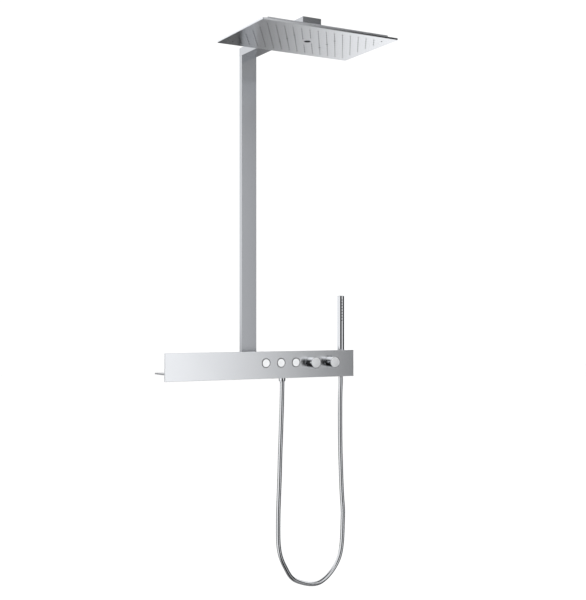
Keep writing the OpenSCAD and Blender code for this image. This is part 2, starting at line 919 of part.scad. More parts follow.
module arm_pipe_solid(r, extra) {
    joined = 0.01;
    rod_z(0, pipe_y, [joint_z + seat_gap - extra, arm_pipe_z - bend_r + joined], r);
    translate([0, pipe_y - bend_r, arm_pipe_z - bend_r]) rotate([90, 0, 90]) rotate_extrude(angle = 90) {
        translate([bend_r, 0]) circle(r = r);
    }
    rod_y(0, arm_pipe_z, [arm_pipe_end_y - extra, pipe_y - bend_r + joined], r);
}

module arm_pipe() {
    color("peru") difference() {
        arm_pipe_solid(pipe_r, 0);
        arm_pipe_solid(pipe_r - pipe_wall, cut);
    }
}

// ---------- rain head ----------

module head_carrier() {
    half = column_w / 2 - column_wall - seat_gap;
    socket_y = carrier_back_y + carrier_pipe_floor;
    pocket = carrier_tongue_wall;
    tongue_z = [arm_z + column_wall + seat_gap, arm_top_z - column_wall - seat_gap];
    front_y = head_y - carrier_d / 2;
    color("silver") difference() {
        union() {
            translate([0, carrier_back_y, arm_pipe_z]) rotate([90, 0, 0]) linear_extrude(carrier_d) {
                round_rect(column_w + 2 * carrier_side, arm_h + 2 * carrier_lip, profile_r);
            }
            difference() {
                box([-half, half], [carrier_back_y - cut, carrier_back_y + carrier_tongue], tongue_z);
                box([-half + pocket, half - pocket], [socket_y, carrier_back_y + carrier_tongue + cut],
                    [tongue_z[0] + pocket, tongue_z[1] - pocket]);
            }
        }
        rod_y(0, arm_pipe_z, [carrier_back_y - carrier_tongue, socket_y + cut], pipe_r + seat_gap);
        rod_y(0, arm_pipe_z, [head_y, carrier_back_y], pipe_r - pipe_wall);
        rod_z(0, head_y, [arm_z - carrier_lip - cut, arm_pipe_z], pipe_r - pipe_wall);
        rod_z(0, head_y, [arm_z - carrier_lip - cut, arm_z + neck_socket], neck_spigot_r + seat_gap);
    }
}

module head_neck() {
    color("silver") difference() {
        union() {
            rod_z(0, head_y, [housing_top_z, housing_top_z + neck_flange_t], neck_flange_r);
            rod_z(0, head_y, [housing_top_z, arm_z - carrier_lip], neck_r);
            rod_z(0, head_y, [housing_top_z, arm_z + neck_socket - neck_end_gap], neck_spigot_r);
        }
        rod_z(0, head_y, [housing_top_z - cut, arm_z + neck_socket], pipe_r - pipe_wall);
        for (p = neck_screw_places()) {
            hole_z(p[0], p[1], [housing_top_z, housing_top_z + neck_flange_t], head_screw_r + screw_hole_gap);
        }
    }
}

function neck_screw_places() = [
    for (a = [45:90:315]) [neck_screw_pcr * cos(a), head_y + neck_screw_pcr * sin(a)]
];

function head_screw_places() = [
    for (s = [-1, 1], t = [-head_screw_reach, head_screw_reach]) each [
        [s * (housing_w / 2 - housing_wall / 2), head_y + t * housing_d],
        [t * housing_w, head_y + s * (housing_d / 2 - housing_wall / 2)]
    ]
];

module head_screw(x, y, seat_z) {
    rod_z(x, y, [seat_z, seat_z + head_screw_head_t], head_screw_head_r);
    rod_z(x, y, [seat_z - head_screw_l, seat_z + cut], head_screw_r);
}

module head_screws() {
    color("gainsboro") {
        for (p = head_screw_places()) {
            head_screw(p[0], p[1], head_screw_seat_z);
        }
        for (p = neck_screw_places()) {
            head_screw(p[0], p[1], housing_top_z + neck_flange_t);
        }
    }
}

module head_housing() {
    color("silver") difference() {
        translate([0, head_y, plate_top_z]) linear_extrude(housing_h) {
            round_rect(housing_w, housing_d, housing_corner_r);
        }
        box([-chamber_x, chamber_x], [head_y - chamber_y, head_y + chamber_y],
            [plate_top_z - cut, housing_top_z - housing_roof]);
        rod_z(0, head_y, [plate_top_z, housing_top_z + cut], pipe_r - pipe_wall);
        for (p = head_screw_places()) {
            rod_z(p[0], p[1], [plate_top_z - cut, housing_top_z], head_screw_r + head_screw_gap);
            rod_z(p[0], p[1], [head_screw_seat_z, housing_top_z + cut], head_screw_head_r + head_screw_gap);
        }
        for (p = neck_screw_places()) {
            hole_z(p[0], p[1], [housing_top_z - housing_roof, housing_top_z], head_screw_r + head_screw_gap);
        }
    }
}

// Nozzle lattice: odd rows are centred, even rows are offset by half a pitch.
// Each entry is [column, row] counted from the middle of the head.
lattice = [
    for (row = [-side_rows:side_rows])
        let (half = row % 2 == 0 ? 0.5 : 0)
        for (i = [-side_cols:side_cols - 2 * half]) [i + half, row]
];
large_spots = [for (row = [-2, 0, 2], s = [-2.5, 2.5]) [s, row]];
jet_spots = [[-0.5, 0], [0.5, 0], [0, -1], [0, 1]];
small_spots = [for (p = lattice) if (!taken(p)) p];

function taken(p) = len([for (q = concat(large_spots, jet_spots)) if (q == p) q]) > 0;
function spot_x(p) = p[0] * nozzle_pitch_x;
function spot_y(p) = head_y + p[1] * nozzle_pitch_y;

module head_plate() {
    color("lightgray") difference() {
        translate([0, head_y, head_z]) linear_extrude(plate_t) {
            round_rect(head_w, head_d, plate_corner_r);
        }
        for (p = small_spots) {
            hole_z(spot_x(p), spot_y(p), [head_z, plate_top_z], nozzle_d / 2 + seat_gap);
        }
        for (p = large_spots) {
            hole_z(spot_x(p), spot_y(p), [head_z, plate_top_z], large_nozzle_d / 2 + seat_gap);
        }
        hole_z(0, head_y, [head_z, plate_top_z], jet_d / 2 + seat_gap);
        for (p = head_screw_places()) {
            tip_z = head_screw_seat_z - head_screw_l - head_screw_gap;
            rod_z(p[0], p[1], [tip_z, plate_top_z + cut], head_screw_r + head_screw_gap);
        }
    }
}

module nozzle(x, y, r, tip) {
    rod_z(x, y, [head_z - tip, plate_top_z + cut], r);
    rod_z(x, y, [plate_top_z, plate_top_z + nozzle_collar_t], r + nozzle_collar);
}

module small_nozzles() {
    color("dimgray") for (p = small_spots) {
        nozzle(spot_x(p), spot_y(p), nozzle_d / 2, nozzle_tip);
    }
}

module large_nozzles() {
    color("dimgray") for (p = large_spots) {
        difference() {
            nozzle(spot_x(p), spot_y(p), large_nozzle_d / 2, nozzle_tip);
            hole_z(spot_x(p), spot_y(p), [head_z - nozzle_tip, plate_top_z + nozzle_collar_t],
                large_nozzle_d / 4);
        }
    }
}

module centre_jet() {
    color("dimgray") difference() {
        nozzle(0, head_y, jet_d / 2, jet_tip);
        rod_z(0, head_y, [head_z - jet_tip - cut, head_z + jet_recess], jet_d / 2 - jet_rim);
        hole_z(0, head_y, [head_z, plate_top_z + nozzle_collar_t], jet_d / 4);
    }
}

// Ring wall that keeps the centre jet's water apart from the rain chamber
module jet_chamber() {
    r = jet_d / 2 + jet_chamber_gap;
    z = [plate_top_z, housing_top_z - housing_roof];
    color("ivory") difference() {
        rod_z(0, head_y, z, r + jet_chamber_wall);
        hole_z(0, head_y, z, r);
    }
}

module head_seal() {
    x = chamber_x - seat_gap;
    y = chamber_y - seat_gap;
    z = [plate_top_z, plate_top_z + seal_t];
    color("black") difference() {
        box([-x, x], [head_y - y, head_y + y], z);
        box([-x + seal_w, x - seal_w], [head_y - y + seal_w, head_y + y - seal_w], [z[0] - cut, z[1] + cut]);
    }
}

// ---------- hand shower ----------

module baton_rod(z, r) {
    rod_z(baton_x, baton_y, z, r);
}

function baton_nozzle_spots() = [
    for (i = [0:baton_nozzle_rows - 1], s = [-1, 1])
        [baton_x + s * baton_nozzle_x, baton_top_z - baton_nozzle_drop - i * baton_nozzle_pitch]
];

module handset_tube() {
    z = [baton_bottom + connector_flange_t, baton_top_z - baton_cap_t];
    color("silver") difference() {
        baton_rod(z, baton_r);
        baton_rod([z[0] - cut, z[1] + cut], baton_r - baton_wall);
        for (p = baton_nozzle_spots()) {
            rod_y(p[0], p[1], [baton_y - baton_r - cut, baton_y], baton_nozzle_r + seat_gap);
        }
    }
}

module handset_cap() {
    z = baton_top_z - baton_cap_t;
    color("silver") {
        baton_rod([z, baton_top_z], baton_r);
        baton_rod([z - baton_plug_l, z + cut], baton_r - baton_wall - seat_gap);
    }
}

module handset_insert() {
    z = [baton_bottom + connector_flange_t + connector_plug_l, baton_top_z - baton_cap_t - baton_plug_l];
    r = baton_r - baton_wall - insert_gap;
    color("ivory") difference() {
        baton_rod(z, r);
        baton_rod([z[0] - cut, z[1] - insert_roof], r - insert_wall);
        for (p = baton_nozzle_spots()) {
            rod_y(p[0], p[1], [baton_y - baton_r, baton_y], baton_nozzle_r + seat_gap);
        }
    }
}

module handset_nozzles() {
    tail_y = baton_y - baton_r + baton_wall + baton_nozzle_tail;
    color("dimgray") for (p = baton_nozzle_spots()) {
        rod_y(p[0], p[1], [baton_y - baton_r - baton_nozzle_proud, tail_y], baton_nozzle_r);
    }
}

module handset_connector() {
    z = baton_bottom;
    top_z = z + connector_flange_t + connector_plug_l;
    color("tan") difference() {
        union() {
            baton_rod([z, z + connector_flange_t], baton_r);
            baton_rod([z, top_z], baton_r - baton_wall - seat_gap);
            baton_rod([z - connector_thread_l, z + cut], half_inch_r - thread_gap);
        }
        baton_rod([z - connector_thread_l - cut, top_z + cut], connector_bore_r);
    }
}

module handset_washer() {
    top = baton_bottom - connector_thread_l;
    color("black") difference() {
        baton_rod([top - washer_t, top], ferrule_flange_r);
        baton_rod([top - washer_t - cut, top + cut], ferrule_bore_r);
    }
}

function nut_r(z) = nut_bottom_r + nut_slope * (z - nut_bottom_z);

module handset_nut() {
    color("silver") difference() {
        translate([baton_x, baton_y, nut_bottom_z]) {
            cylinder(r1 = nut_bottom_r, r2 = nut_top_r, h = nut_top_z - nut_bottom_z);
        }
        baton_rod([ferrule_top_z - ferrule_flange_t - run_gap, nut_top_z + cut], half_inch_r - thread_room);
        baton_rod([nut_bottom_z - cut, nut_top_z], ferrule_r + run_gap);
    }
}

module ferrule(x, top_z, bottom_z) {
    difference() {
        union() {
            rod_z(x, -hose_out, [bottom_z, top_z], ferrule_r);
            rod_z(x, -hose_out, [top_z - ferrule_flange_t, top_z], ferrule_flange_r);
        }
        hole_z(x, -hose_out, [bottom_z, top_z], ferrule_bore_r);
    }
}

module handset_ferrule() {
    color("khaki") ferrule(baton_x, ferrule_top_z, nut_bottom_z);
}

module handset_holder() {
    open_z = [holder_z[0] - cut, holder_z[1] + cut];
    color("dimgray") difference() {
        union() {
            baton_rod(holder_z, holder_r);
            baton_rod([base_top_z, holder_z[1]], holder_flange_r);
        }
        translate([baton_x, baton_y, open_z[0]]) {
            cylinder(
                r1 = nut_r(open_z[0]) + holder_gap, r2 = nut_r(open_z[1]) + holder_gap,
                h = open_z[1] - open_z[0]
            );
        }
        box([baton_x, baton_x + holder_flange_r + cut], holder_slot_y, open_z);
    }
}

// ---------- hose ----------

module outlet_nipple() {
    color("tan") difference() {
        union() {
            rod_z(outlet_x, -hose_out, [outlet_boss_z, outlet_spigot_top_z - outlet_end_gap],
                outlet_spigot_r);
            rod_z(outlet_x, -hose_out, [outlet_boss_z - outlet_flange_t, outlet_boss_z], outlet_flange_r);
            rod_z(outlet_x, -hose_out, [outlet_thread_bottom_z, outlet_boss_z], half_inch_r - thread_gap);
        }
        rod_z(outlet_x, -hose_out, [outlet_thread_bottom_z - cut, outlet_spigot_top_z], ferrule_bore_r);
    }
}

module outlet_nut() {
    seat_z = outlet_thread_bottom_z - ferrule_flange_t - seat_gap;
    color("silver") difference() {
        rod_z(outlet_x, -hose_out, outlet_nut_z, outlet_nut_r);
        rod_z(outlet_x, -hose_out, [seat_z, outlet_nut_z[1] + cut], half_inch_r - thread_room);
        rod_z(outlet_x, -hose_out, [outlet_nut_z[0] - cut, outlet_nut_z[1]], ferrule_r + seat_gap);
    }
}

module outlet_ferrule() {
    color("khaki") ferrule(outlet_x, outlet_thread_bottom_z, outlet_nut_z[0]);
}

// How far a point of the drawn curve moves with the outlet or with the baton
function hose_shift(x) =
    let (share = min(max((x - drawn_outlet_x) / (drawn_baton_x - drawn_outlet_x), 0), 1))
    (1 - share) * (outlet_x - drawn_outlet_x) + share * (baton_x - drawn_baton_x);

// Point on the smooth curve through the route, t counted in the route's points
function route_at(t) =
    let (
        last = len(hose_route) - 1,
        i = min(floor(t), last - 1),
        u = t - i,
        b = hose_route[i],
        c = hose_route[i + 1],
        a = i > 0 ? hose_route[i - 1] : 2 * b - c,
        d = i + 2 <= last ? hose_route[i + 2] : 2 * c - b
    )
    (2 * b + (c - a) * u + (2 * a - 5 * b + 4 * c - d) * u * u + (3 * b - a - 3 * c + d) * pow(u, 3)) / 2;

module hose() {
    n = (len(hose_route) - 1) * hose_steps;
    line = [for (i = [0:n]) route_at(i / hose_steps)];
    pts = [
        for (i = [0:n], k = [0:hose_sides - 1])
            let (
                d = line[min(i + 1, n)] - line[max(i - 1, 0)],
                t = i == 0 ? [0, -1] : (i == n ? [0, 1] : d / norm(d)),
                a = 360 * k / hose_sides,
                side = hose_d / 2 * cos(a),
                p = line[i]
            )
            [p[0] + t[1] * side, -hose_out + hose_d / 2 * sin(a), p[1] - t[0] * side]
    ];
    color("lightgray") polyhedron(points = pts, faces = tube_faces(n, hose_sides), convexity = 6);
}

// ---------- the pieces ----------

wall_bracket();
wall_screws();
wall_unions();
rosettes();
union_nuts();
valve_body();
valve_seals();
body_plugs();
push_cartridge(0);  // push_cartridge_1
push_cartridge(1);  // push_cartridge_2
push_cartridge(2);  // push_cartridge_3
flow_cartridge();
temperature_cartridge();
button(0);  // button_1
button(1);  // button_2
button(2);  // button_3
button_rings();
button_springs();
flow_knob();
flow_knob_cap();
flow_spindle();
temperature_knob();
temperature_knob_cap();
temperature_spindle();
temperature_stop_ring();
safety_button();
safety_spring();
front_panel();
panel_screws();
base_plate();
rear_casing();
riser_tube();
joint_sleeve();
arm_elbow();
riser_pipe();
pipe_coupling();
arm_pipe();
head_carrier();
head_neck();
head_housing();
head_plate();
head_screws();
small_nozzles();
large_nozzles();
centre_jet();
jet_chamber();
head_seal();
handset_tube();
handset_cap();
handset_insert();
handset_nozzles();
handset_connector();
handset_washer();
handset_nut();
handset_ferrule();
handset_holder();
outlet_nipple();
outlet_nut();
outlet_ferrule();
hose();
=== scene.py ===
"""Wall shower column: finished surfaces, hose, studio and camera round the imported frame."""

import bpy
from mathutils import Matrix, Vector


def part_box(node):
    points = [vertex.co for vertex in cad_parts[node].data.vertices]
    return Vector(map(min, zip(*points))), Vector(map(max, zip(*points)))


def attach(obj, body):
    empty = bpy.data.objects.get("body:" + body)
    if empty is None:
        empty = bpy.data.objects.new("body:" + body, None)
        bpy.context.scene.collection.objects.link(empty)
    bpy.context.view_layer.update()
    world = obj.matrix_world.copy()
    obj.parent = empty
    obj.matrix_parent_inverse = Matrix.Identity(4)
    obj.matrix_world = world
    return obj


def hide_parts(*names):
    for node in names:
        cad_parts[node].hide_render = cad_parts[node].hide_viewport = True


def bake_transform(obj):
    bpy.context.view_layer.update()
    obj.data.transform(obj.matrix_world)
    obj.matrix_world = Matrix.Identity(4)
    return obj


bl_info = {
    "name": "Shower Column",
    "version": (1, 0, 0),
    "blender": (4, 5, 0),
    "location": "View3D > Sidebar > Shower",
    "description": "Builds the visible pieces of a wall shower column round its frame",
    "category": "Add Mesh",
}

import math

import bmesh
import bpy
from bpy.props import FloatProperty, FloatVectorProperty, IntProperty
from mathutils import Vector

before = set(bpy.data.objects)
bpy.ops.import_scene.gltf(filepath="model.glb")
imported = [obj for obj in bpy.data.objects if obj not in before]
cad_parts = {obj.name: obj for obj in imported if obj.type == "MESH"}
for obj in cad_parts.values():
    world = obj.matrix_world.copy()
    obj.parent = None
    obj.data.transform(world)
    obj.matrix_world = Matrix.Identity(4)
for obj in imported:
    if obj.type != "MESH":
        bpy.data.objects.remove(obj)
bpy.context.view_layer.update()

MM = 0.001
WALL_PART = "wall_part"

# Measures that the frame's boxes don't give
NOZZLE_COLLAR = 1.2 * MM
RING_FLANGE = 2 * MM
SPINDLE_HOLE_R = 10 * MM
KNOB_WALL = 2.7 * MM
KNOB_FRONT = 7 * MM
CAP_SEAT_R = 1.55 * MM  # how far inside the knob's rim the face's seat ends
SAFETY_HOLE_R = 3.8 * MM
BATON_WALL = 2 * MM
BATON_PLUG = 9 * MM
HOSE_BORE_R = 8.05 * MM
NUT_THREAD_R = 10.2 * MM
CONE_END_R = 10 * MM
HOSE_SIDES = 24
SPAN_STEPS = 24  # points worked out on each span of the hose's curve
BAND_WIDTH = 0.05  # the hose's girth on its texture map

# The hose's curve between its two ends, (x, z) in metres, in the upright plane through both
# ends; it is drawn for these two places and each side moves with the end that it hangs from
DRAWN_OUTLET_X = 0.094
DRAWN_BATON_X = 0.326
HOSE_CURVE = [
    (0.094, -0.085), (0.091, -0.190), (0.086, -0.320), (0.084, -0.390), (0.079, -0.525),
    (0.082, -0.626), (0.105, -0.690), (0.147, -0.7405), (0.242, -0.758), (0.319, -0.682),
    (0.335, -0.547), (0.330, -0.442), (0.325, -0.303), (0.324, -0.150), (0.326, -0.075),
]


def cad_size(node, axis):
    low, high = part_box(node)
    return high[axis] - low[axis]


def cad_centre(node):
    low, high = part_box(node)
    return (Vector(low) + Vector(high)) / 2


# ---------- sizes and colours that a user would change ----------

class ShowerSizes(bpy.types.PropertyGroup):
    plate_edge: FloatProperty(
        name="Plate edge", description="Rounding of the rain plate's edges",
        default=0.0007, min=0.0001, max=0.002, unit="LENGTH")
    plate_corner: FloatProperty(
        name="Plate corner", description="Rounding of the rain head's upright corners",
        default=0.004, min=0.001, max=0.01, unit="LENGTH")
    housing_edge: FloatProperty(
        name="Housing edge", description="Rounding of the rain head's upper housing",
        default=0.0022, min=0.0005, max=0.004, unit="LENGTH")
    panel_edge: FloatProperty(
        name="Panel edge", description="Rounding of the front panel's edges",
        default=0.0012, min=0.0001, max=0.002, unit="LENGTH")
    knob_edge: FloatProperty(
        name="Knob edge", description="Rounding of the knobs' front edge",
        default=0.0009, min=0.0002, max=0.002, unit="LENGTH")
    baton_edge: FloatProperty(
        name="Baton edge", description="Rounding of the baton's top",
        default=0.0018, min=0.0005, max=0.004, unit="LENGTH")
    hose_diameter: FloatProperty(
        name="Hose diameter", description="Outside diameter of the hose",
        default=0.0155, min=0.012, max=0.0156, unit="LENGTH")
    hose_band: FloatProperty(
        name="Hose band", description="Distance between the turns of the hose's spiral band",
        default=0.0052, min=0.003, max=0.01, unit="LENGTH")
    hose_groove: FloatProperty(
        name="Hose groove", description="Depth of the groove between two turns of the band",
        default=0.00016, min=0.0, max=0.0006, unit="LENGTH")
    round_steps: IntProperty(
        name="Round steps", description="Steps in a full turn of a turned piece",
        default=72, min=24, max=128)
    floor_drop: FloatProperty(
        name="Floor drop", description="Height of the controls above the floor",
        default=1.1, min=0.9, max=1.4, unit="LENGTH")


class ShowerColours(bpy.types.PropertyGroup):
    # Its darker use on the knobs, the baton, the nuts and the hose is painted shade
    mirror: FloatVectorProperty(
        name="Mirror chrome", subtype="COLOR",
        description="Front panel, and darker on the knobs, the baton, the nuts and the hose",
        default=(0.93, 0.94, 0.96), min=0, max=1)
    profile: FloatVectorProperty(
        name="Profile chrome", description="Column and arm", subtype="COLOR",
        default=(0.53, 0.54, 0.56), min=0, max=1)
    plate: FloatVectorProperty(
        name="Plate steel", description="Face of the rain head", subtype="COLOR",
        default=(0.80, 0.81, 0.83), min=0, max=1)
    satin: FloatVectorProperty(
        name="Satin steel", description="Housing of the rain head", subtype="COLOR",
        default=(0.60, 0.61, 0.63), min=0, max=1)
    knob_face: FloatVectorProperty(
        name="Knob face", description="Turned front of the knobs", subtype="COLOR",
        default=(0.90, 0.91, 0.92), min=0, max=1)
    button: FloatVectorProperty(
        name="Button", description="Push buttons", subtype="COLOR",
        default=(0.74, 0.75, 0.76), min=0, max=1)
    rubber: FloatVectorProperty(
        name="Silicone", description="Spray nozzles", subtype="COLOR",
        default=(0.022, 0.023, 0.025), min=0, max=1)
    brass: FloatVectorProperty(
        name="Brass", description="Valve body and fittings", subtype="COLOR",
        default=(0.72, 0.52, 0.26), min=0, max=1)
    copper: FloatVectorProperty(
        name="Copper", description="Water pipes", subtype="COLOR",
        default=(0.78, 0.42, 0.27), min=0, max=1)


def sizes():
    return bpy.context.scene.shower_sizes


def colours():
    return bpy.context.scene.shower_colours


# ---------- modelling helpers ----------

def leave_edit():
    if bpy.context.object is not None and bpy.context.object.mode != "OBJECT":
        bpy.ops.object.mode_set(mode="OBJECT")


def select_only(*objects):
    leave_edit()
    bpy.ops.object.select_all(action="DESELECT")
    for obj in objects:
        obj.select_set(True)
    bpy.context.view_layer.objects.active = objects[0]


def clear_selection():
    leave_edit()
    bpy.ops.object.select_all(action="DESELECT")


def named(name):
    obj = bpy.context.object
    obj.name = name
    obj.data.name = name
    return obj


def settle(obj):
    """Puts the object's place into its mesh."""
    select_only(obj)
    bpy.ops.object.transform_apply(location=True, rotation=True, scale=True)
    return obj


def block(name, low, high):
    """A box from its lowest to its highest corner."""
    low, high = Vector(low), Vector(high)
    clear_selection()
    bpy.ops.mesh.primitive_cube_add(size=1, location=(low + high) / 2, scale=high - low)
    return settle(named(name))


def rod(name, start, end, radius, steps=None):
    """A cylinder between two points."""
    start, end = Vector(start), Vector(end)
    run = end - start
    clear_selection()
    bpy.ops.mesh.primitive_cylinder_add(
        vertices=steps or sizes().round_steps, radius=radius, depth=run.length,
        location=(start + end) / 2, rotation=run.to_track_quat("Z", "Y").to_euler())
    return settle(named(name))


def apply_modifiers(obj):
    select_only(obj)
    for modifier in list(obj.modifiers):
        bpy.ops.object.modifier_apply(modifier=modifier.name)
    return obj


def round_edges(obj, width, segments=3, angle=35):
    """Rounds the sharp edges and keeps the flats flat."""
    select_only(obj)
    bpy.ops.object.shade_smooth()
    modifier = obj.modifiers.new("round", "BEVEL")
    modifier.width = width
    modifier.segments = segments
    modifier.limit_method = "ANGLE"
    modifier.angle_limit = math.radians(angle)
    modifier.harden_normals = True
    modifier.use_clamp_overlap = True
    return apply_modifiers(obj)


def round_corners(obj, width):
    """Rounds the four upright edges of a block."""
    select_only(obj)
    bpy.ops.object.mode_set(mode="EDIT")
    bpy.ops.mesh.select_mode(type="EDGE")
    bpy.ops.mesh.select_all(action="DESELECT")
    bm = bmesh.from_edit_mesh(obj.data)
    for edge in bm.edges:
        a, b = edge.verts
        edge.select_set(abs(a.co.z - b.co.z) > 1e-6 and (a.co.xy - b.co.xy).length < 1e-6)
    bmesh.update_edit_mesh(obj.data)
    bpy.ops.mesh.bevel(offset=width, segments=6)
    bpy.ops.mesh.select_mode(type="VERT")
    leave_edit()
    return obj


def smooth(obj, angle=32):
    select_only(obj)
    bpy.ops.object.shade_smooth_by_angle(angle=math.radians(angle))
    return obj


def join(name, objects):
    select_only(*objects)
    if len(objects) > 1:
        bpy.ops.object.join()
    return named(name)


def drill(obj, cutters):
    """Cuts the cutters, joined to one tool, out of the piece."""
    tool = join("tool", cutters)
    modifier = obj.modifiers.new("drill", "BOOLEAN")
    modifier.operation = "DIFFERENCE"
    modifier.solver = "EXACT"
    modifier.object = tool
    apply_modifiers(obj)
    bpy.data.objects.remove(tool, do_unlink=True)
    return obj


def turned(name, outline, place, along, steps=None):
    """Spins an outline of (radius, distance) points round the axis through a place."""
    clear_selection()
    bpy.ops.mesh.primitive_plane_add(size=MM)
    obj = named(name)
    bpy.ops.object.mode_set(mode="EDIT")
    bpy.ops.mesh.select_mode(type="VERT")
    bpy.ops.mesh.select_all(action="SELECT")
    bpy.ops.mesh.merge(type="CENTER")
    bpy.ops.transform.translate(value=(outline[0][0], 0, outline[0][1]))
    for (r0, d0), (r1, d1) in zip(outline, outline[1:]):
        bpy.ops.mesh.extrude_vertices_move(TRANSFORM_OT_translate={"value": (r1 - r0, 0, d1 - d0)})
    bpy.ops.mesh.select_all(action="SELECT")
    bpy.ops.mesh.spin(
        steps=steps or sizes().round_steps, angle=2 * math.pi, center=(0, 0, 0), axis=(0, 0, 1))
    bpy.ops.mesh.select_all(action="SELECT")
    bpy.ops.mesh.remove_doubles(threshold=2e-6)
    bpy.ops.mesh.normals_make_consistent(inside=False)
    leave_edit()
    if not obj.data.polygons:
        raise RuntimeError("%s has no faces" % name)
    obj.rotation_mode = "QUATERNION"
    obj.rotation_quaternion = Vector(along).to_track_quat("Z", "Y")
    obj.location = place
    return settle(obj)


def copies(obj, places):
    """Moves copies of a piece modelled at the origin to each place, as one mesh."""
    made = []
    for place in places:
        twin = obj.copy()
        twin.data = obj.data.copy()
        bpy.context.collection.objects.link(twin)
        twin.location = place
        made.append(twin)
    name = obj.name
    bpy.data.objects.remove(obj, do_unlink=True)
    return settle(join(name, made))


def finish(obj, material, body=WALL_PART, nodes=()):
    """Gives a finished piece its material, its body and the CAD nodes it stands for."""
    obj.data.materials.clear()
    obj.data.materials.append(material)
    if nodes:
        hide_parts(*nodes)
    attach(obj, body)
    return obj


def corner(radius, distance, size, start, steps=4):
    """A quarter round in an outline: its centre, its size and its first angle in degrees."""
    angles = [math.radians(start + 90 * i / steps) for i in range(steps + 1)]
    return [(radius + size * math.cos(a), distance + size * math.sin(a)) for a in angles]


# ---------- shader effects ----------

def new_group(name, inputs, outputs):
    """An empty node group with its sockets; returns the group and its two end nodes."""
    group = bpy.data.node_groups.new(name, "ShaderNodeTree")
    for label, kind, value in inputs:
        socket = group.interface.new_socket(label, in_out="INPUT", socket_type=kind)
        if value is not None:
            socket.default_value = value
    for label, kind in outputs:
        group.interface.new_socket(label, in_out="OUTPUT", socket_type=kind)
    return group, group.nodes.new("NodeGroupInput"), group.nodes.new("NodeGroupOutput")


def math_node(tree, operation, a, b=None):
    node = tree.nodes.new("ShaderNodeMath")
    node.operation = operation
    for socket, value in zip(node.inputs, (a, b)):
        if isinstance(value, (int, float)):
            socket.default_value = value
        elif value is not None:
            tree.links.new(value, socket)
    return node.outputs[0]


def mixed(tree, a, share_a, b, share_b):
    """Two values added up, each with its share."""
    part_a = math_node(tree, "MULTIPLY", a, share_a)
    part_b = math_node(tree, "MULTIPLY", b, share_b)
    return math_node(tree, "ADD", part_a, part_b)


def noise(tree, vector, scale, detail=4, roughness=0.55):
    node = tree.nodes.new("ShaderNodeTexNoise")
    node.inputs["Detail"].default_value = detail
    node.inputs["Roughness"].default_value = roughness
    tree.links.new(vector, node.inputs["Vector"])
    if isinstance(scale, (int, float)):
        node.inputs["Scale"].default_value = scale
    else:
        tree.links.new(scale, node.inputs["Scale"])
    return node.outputs["Fac"]


def map_range(tree, value, low, high, to_low, to_high):
    node = tree.nodes.new("ShaderNodeMapRange")
    tree.links.new(value, node.inputs["Value"])
    ends = (("From Min", low), ("From Max", high), ("To Min", to_low), ("To Max", to_high))
    for label, number in ends:
        if isinstance(number, (int, float)):
            node.inputs[label].default_value = number
        else:
            tree.links.new(number, node.inputs[label])
    return node.outputs["Result"]


def polish_group():
    """Slow and fine changes of gloss on a polished surface, with faint dried-water marks."""
    name = "polish"
    if name in bpy.data.node_groups:
        return bpy.data.node_groups[name]
    group, start, end = new_group(
        name,
        [("Vector", "NodeSocketVector", None), ("Roughness", "NodeSocketFloat", 0.06),
         ("Variation", "NodeSocketFloat", 0.03), ("Marks", "NodeSocketFloat", 0.02)],
        [("Roughness", "NodeSocketFloat"), ("Height", "NodeSocketFloat"),
         ("Mark", "NodeSocketFloat")])
    slow = noise(group, start.outputs["Vector"], 9.0, 3)
    fine = noise(group, start.outputs["Vector"], 420.0, 2)
    spots = group.nodes.new("ShaderNodeTexVoronoi")
    spots.inputs["Scale"].default_value = 70.0
    spots.inputs["Randomness"].default_value = 1.0
    group.links.new(start.outputs["Vector"], spots.inputs["Vector"])
    ring = map_range(group, spots.outputs["Distance"], 0.10, 0.16, 1.0, 0.0)
    patchy = map_range(group, slow, 0.52, 0.66, 0.0, 1.0)
    mark = math_node(group, "MULTIPLY", ring, patchy)
    both = mixed(group, slow, 0.7, fine, 0.3)
    spread = math_node(group, "MULTIPLY", both, start.outputs["Variation"])
    rough = math_node(group, "ADD", start.outputs["Roughness"], spread)
    dulled = math_node(group, "MULTIPLY", mark, start.outputs["Marks"])
    rough = math_node(group, "ADD", rough, dulled)
    group.links.new(rough, end.inputs["Roughness"])
    group.links.new(fine, end.inputs["Height"])
    group.links.new(mark, end.inputs["Mark"])
    return group


def grain_group():
    """Fine drawn lines along one axis: the vector is squeezed along the lines beforehand."""
    name = "grain"
    if name in bpy.data.node_groups:
        return bpy.data.node_groups[name]
    group, start, end = new_group(
        name,
        [("Vector", "NodeSocketVector", None), ("Scale", "NodeSocketFloat", 900.0)],
        [("Height", "NodeSocketFloat"), ("Tone", "NodeSocketFloat")])
    lines = noise(group, start.outputs["Vector"], start.outputs["Scale"], 3, 0.6)
    broad = noise(group, start.outputs["Vector"], 60.0, 2)
    tone = mixed(group, lines, 0.6, broad, 0.4)
    group.links.new(lines, end.inputs["Height"])
    group.links.new(tone, end.inputs["Tone"])
    return group


def mould_group():
    """The slight orange-peel of a moulded or cast surface, with a little tone change."""
    name = "mould"
    if name in bpy.data.node_groups:
        return bpy.data.node_groups[name]
    group, start, end = new_group(
        name,
        [("Vector", "NodeSocketVector", None), ("Scale", "NodeSocketFloat", 700.0)],
        [("Height", "NodeSocketFloat"), ("Tone", "NodeSocketFloat")])
    peel = noise(group, start.outputs["Vector"], start.outputs["Scale"], 2)
    tone = noise(group, start.outputs["Vector"], 35.0, 4)
    group.links.new(peel, end.inputs["Height"])
    group.links.new(tone, end.inputs["Tone"])
    return group


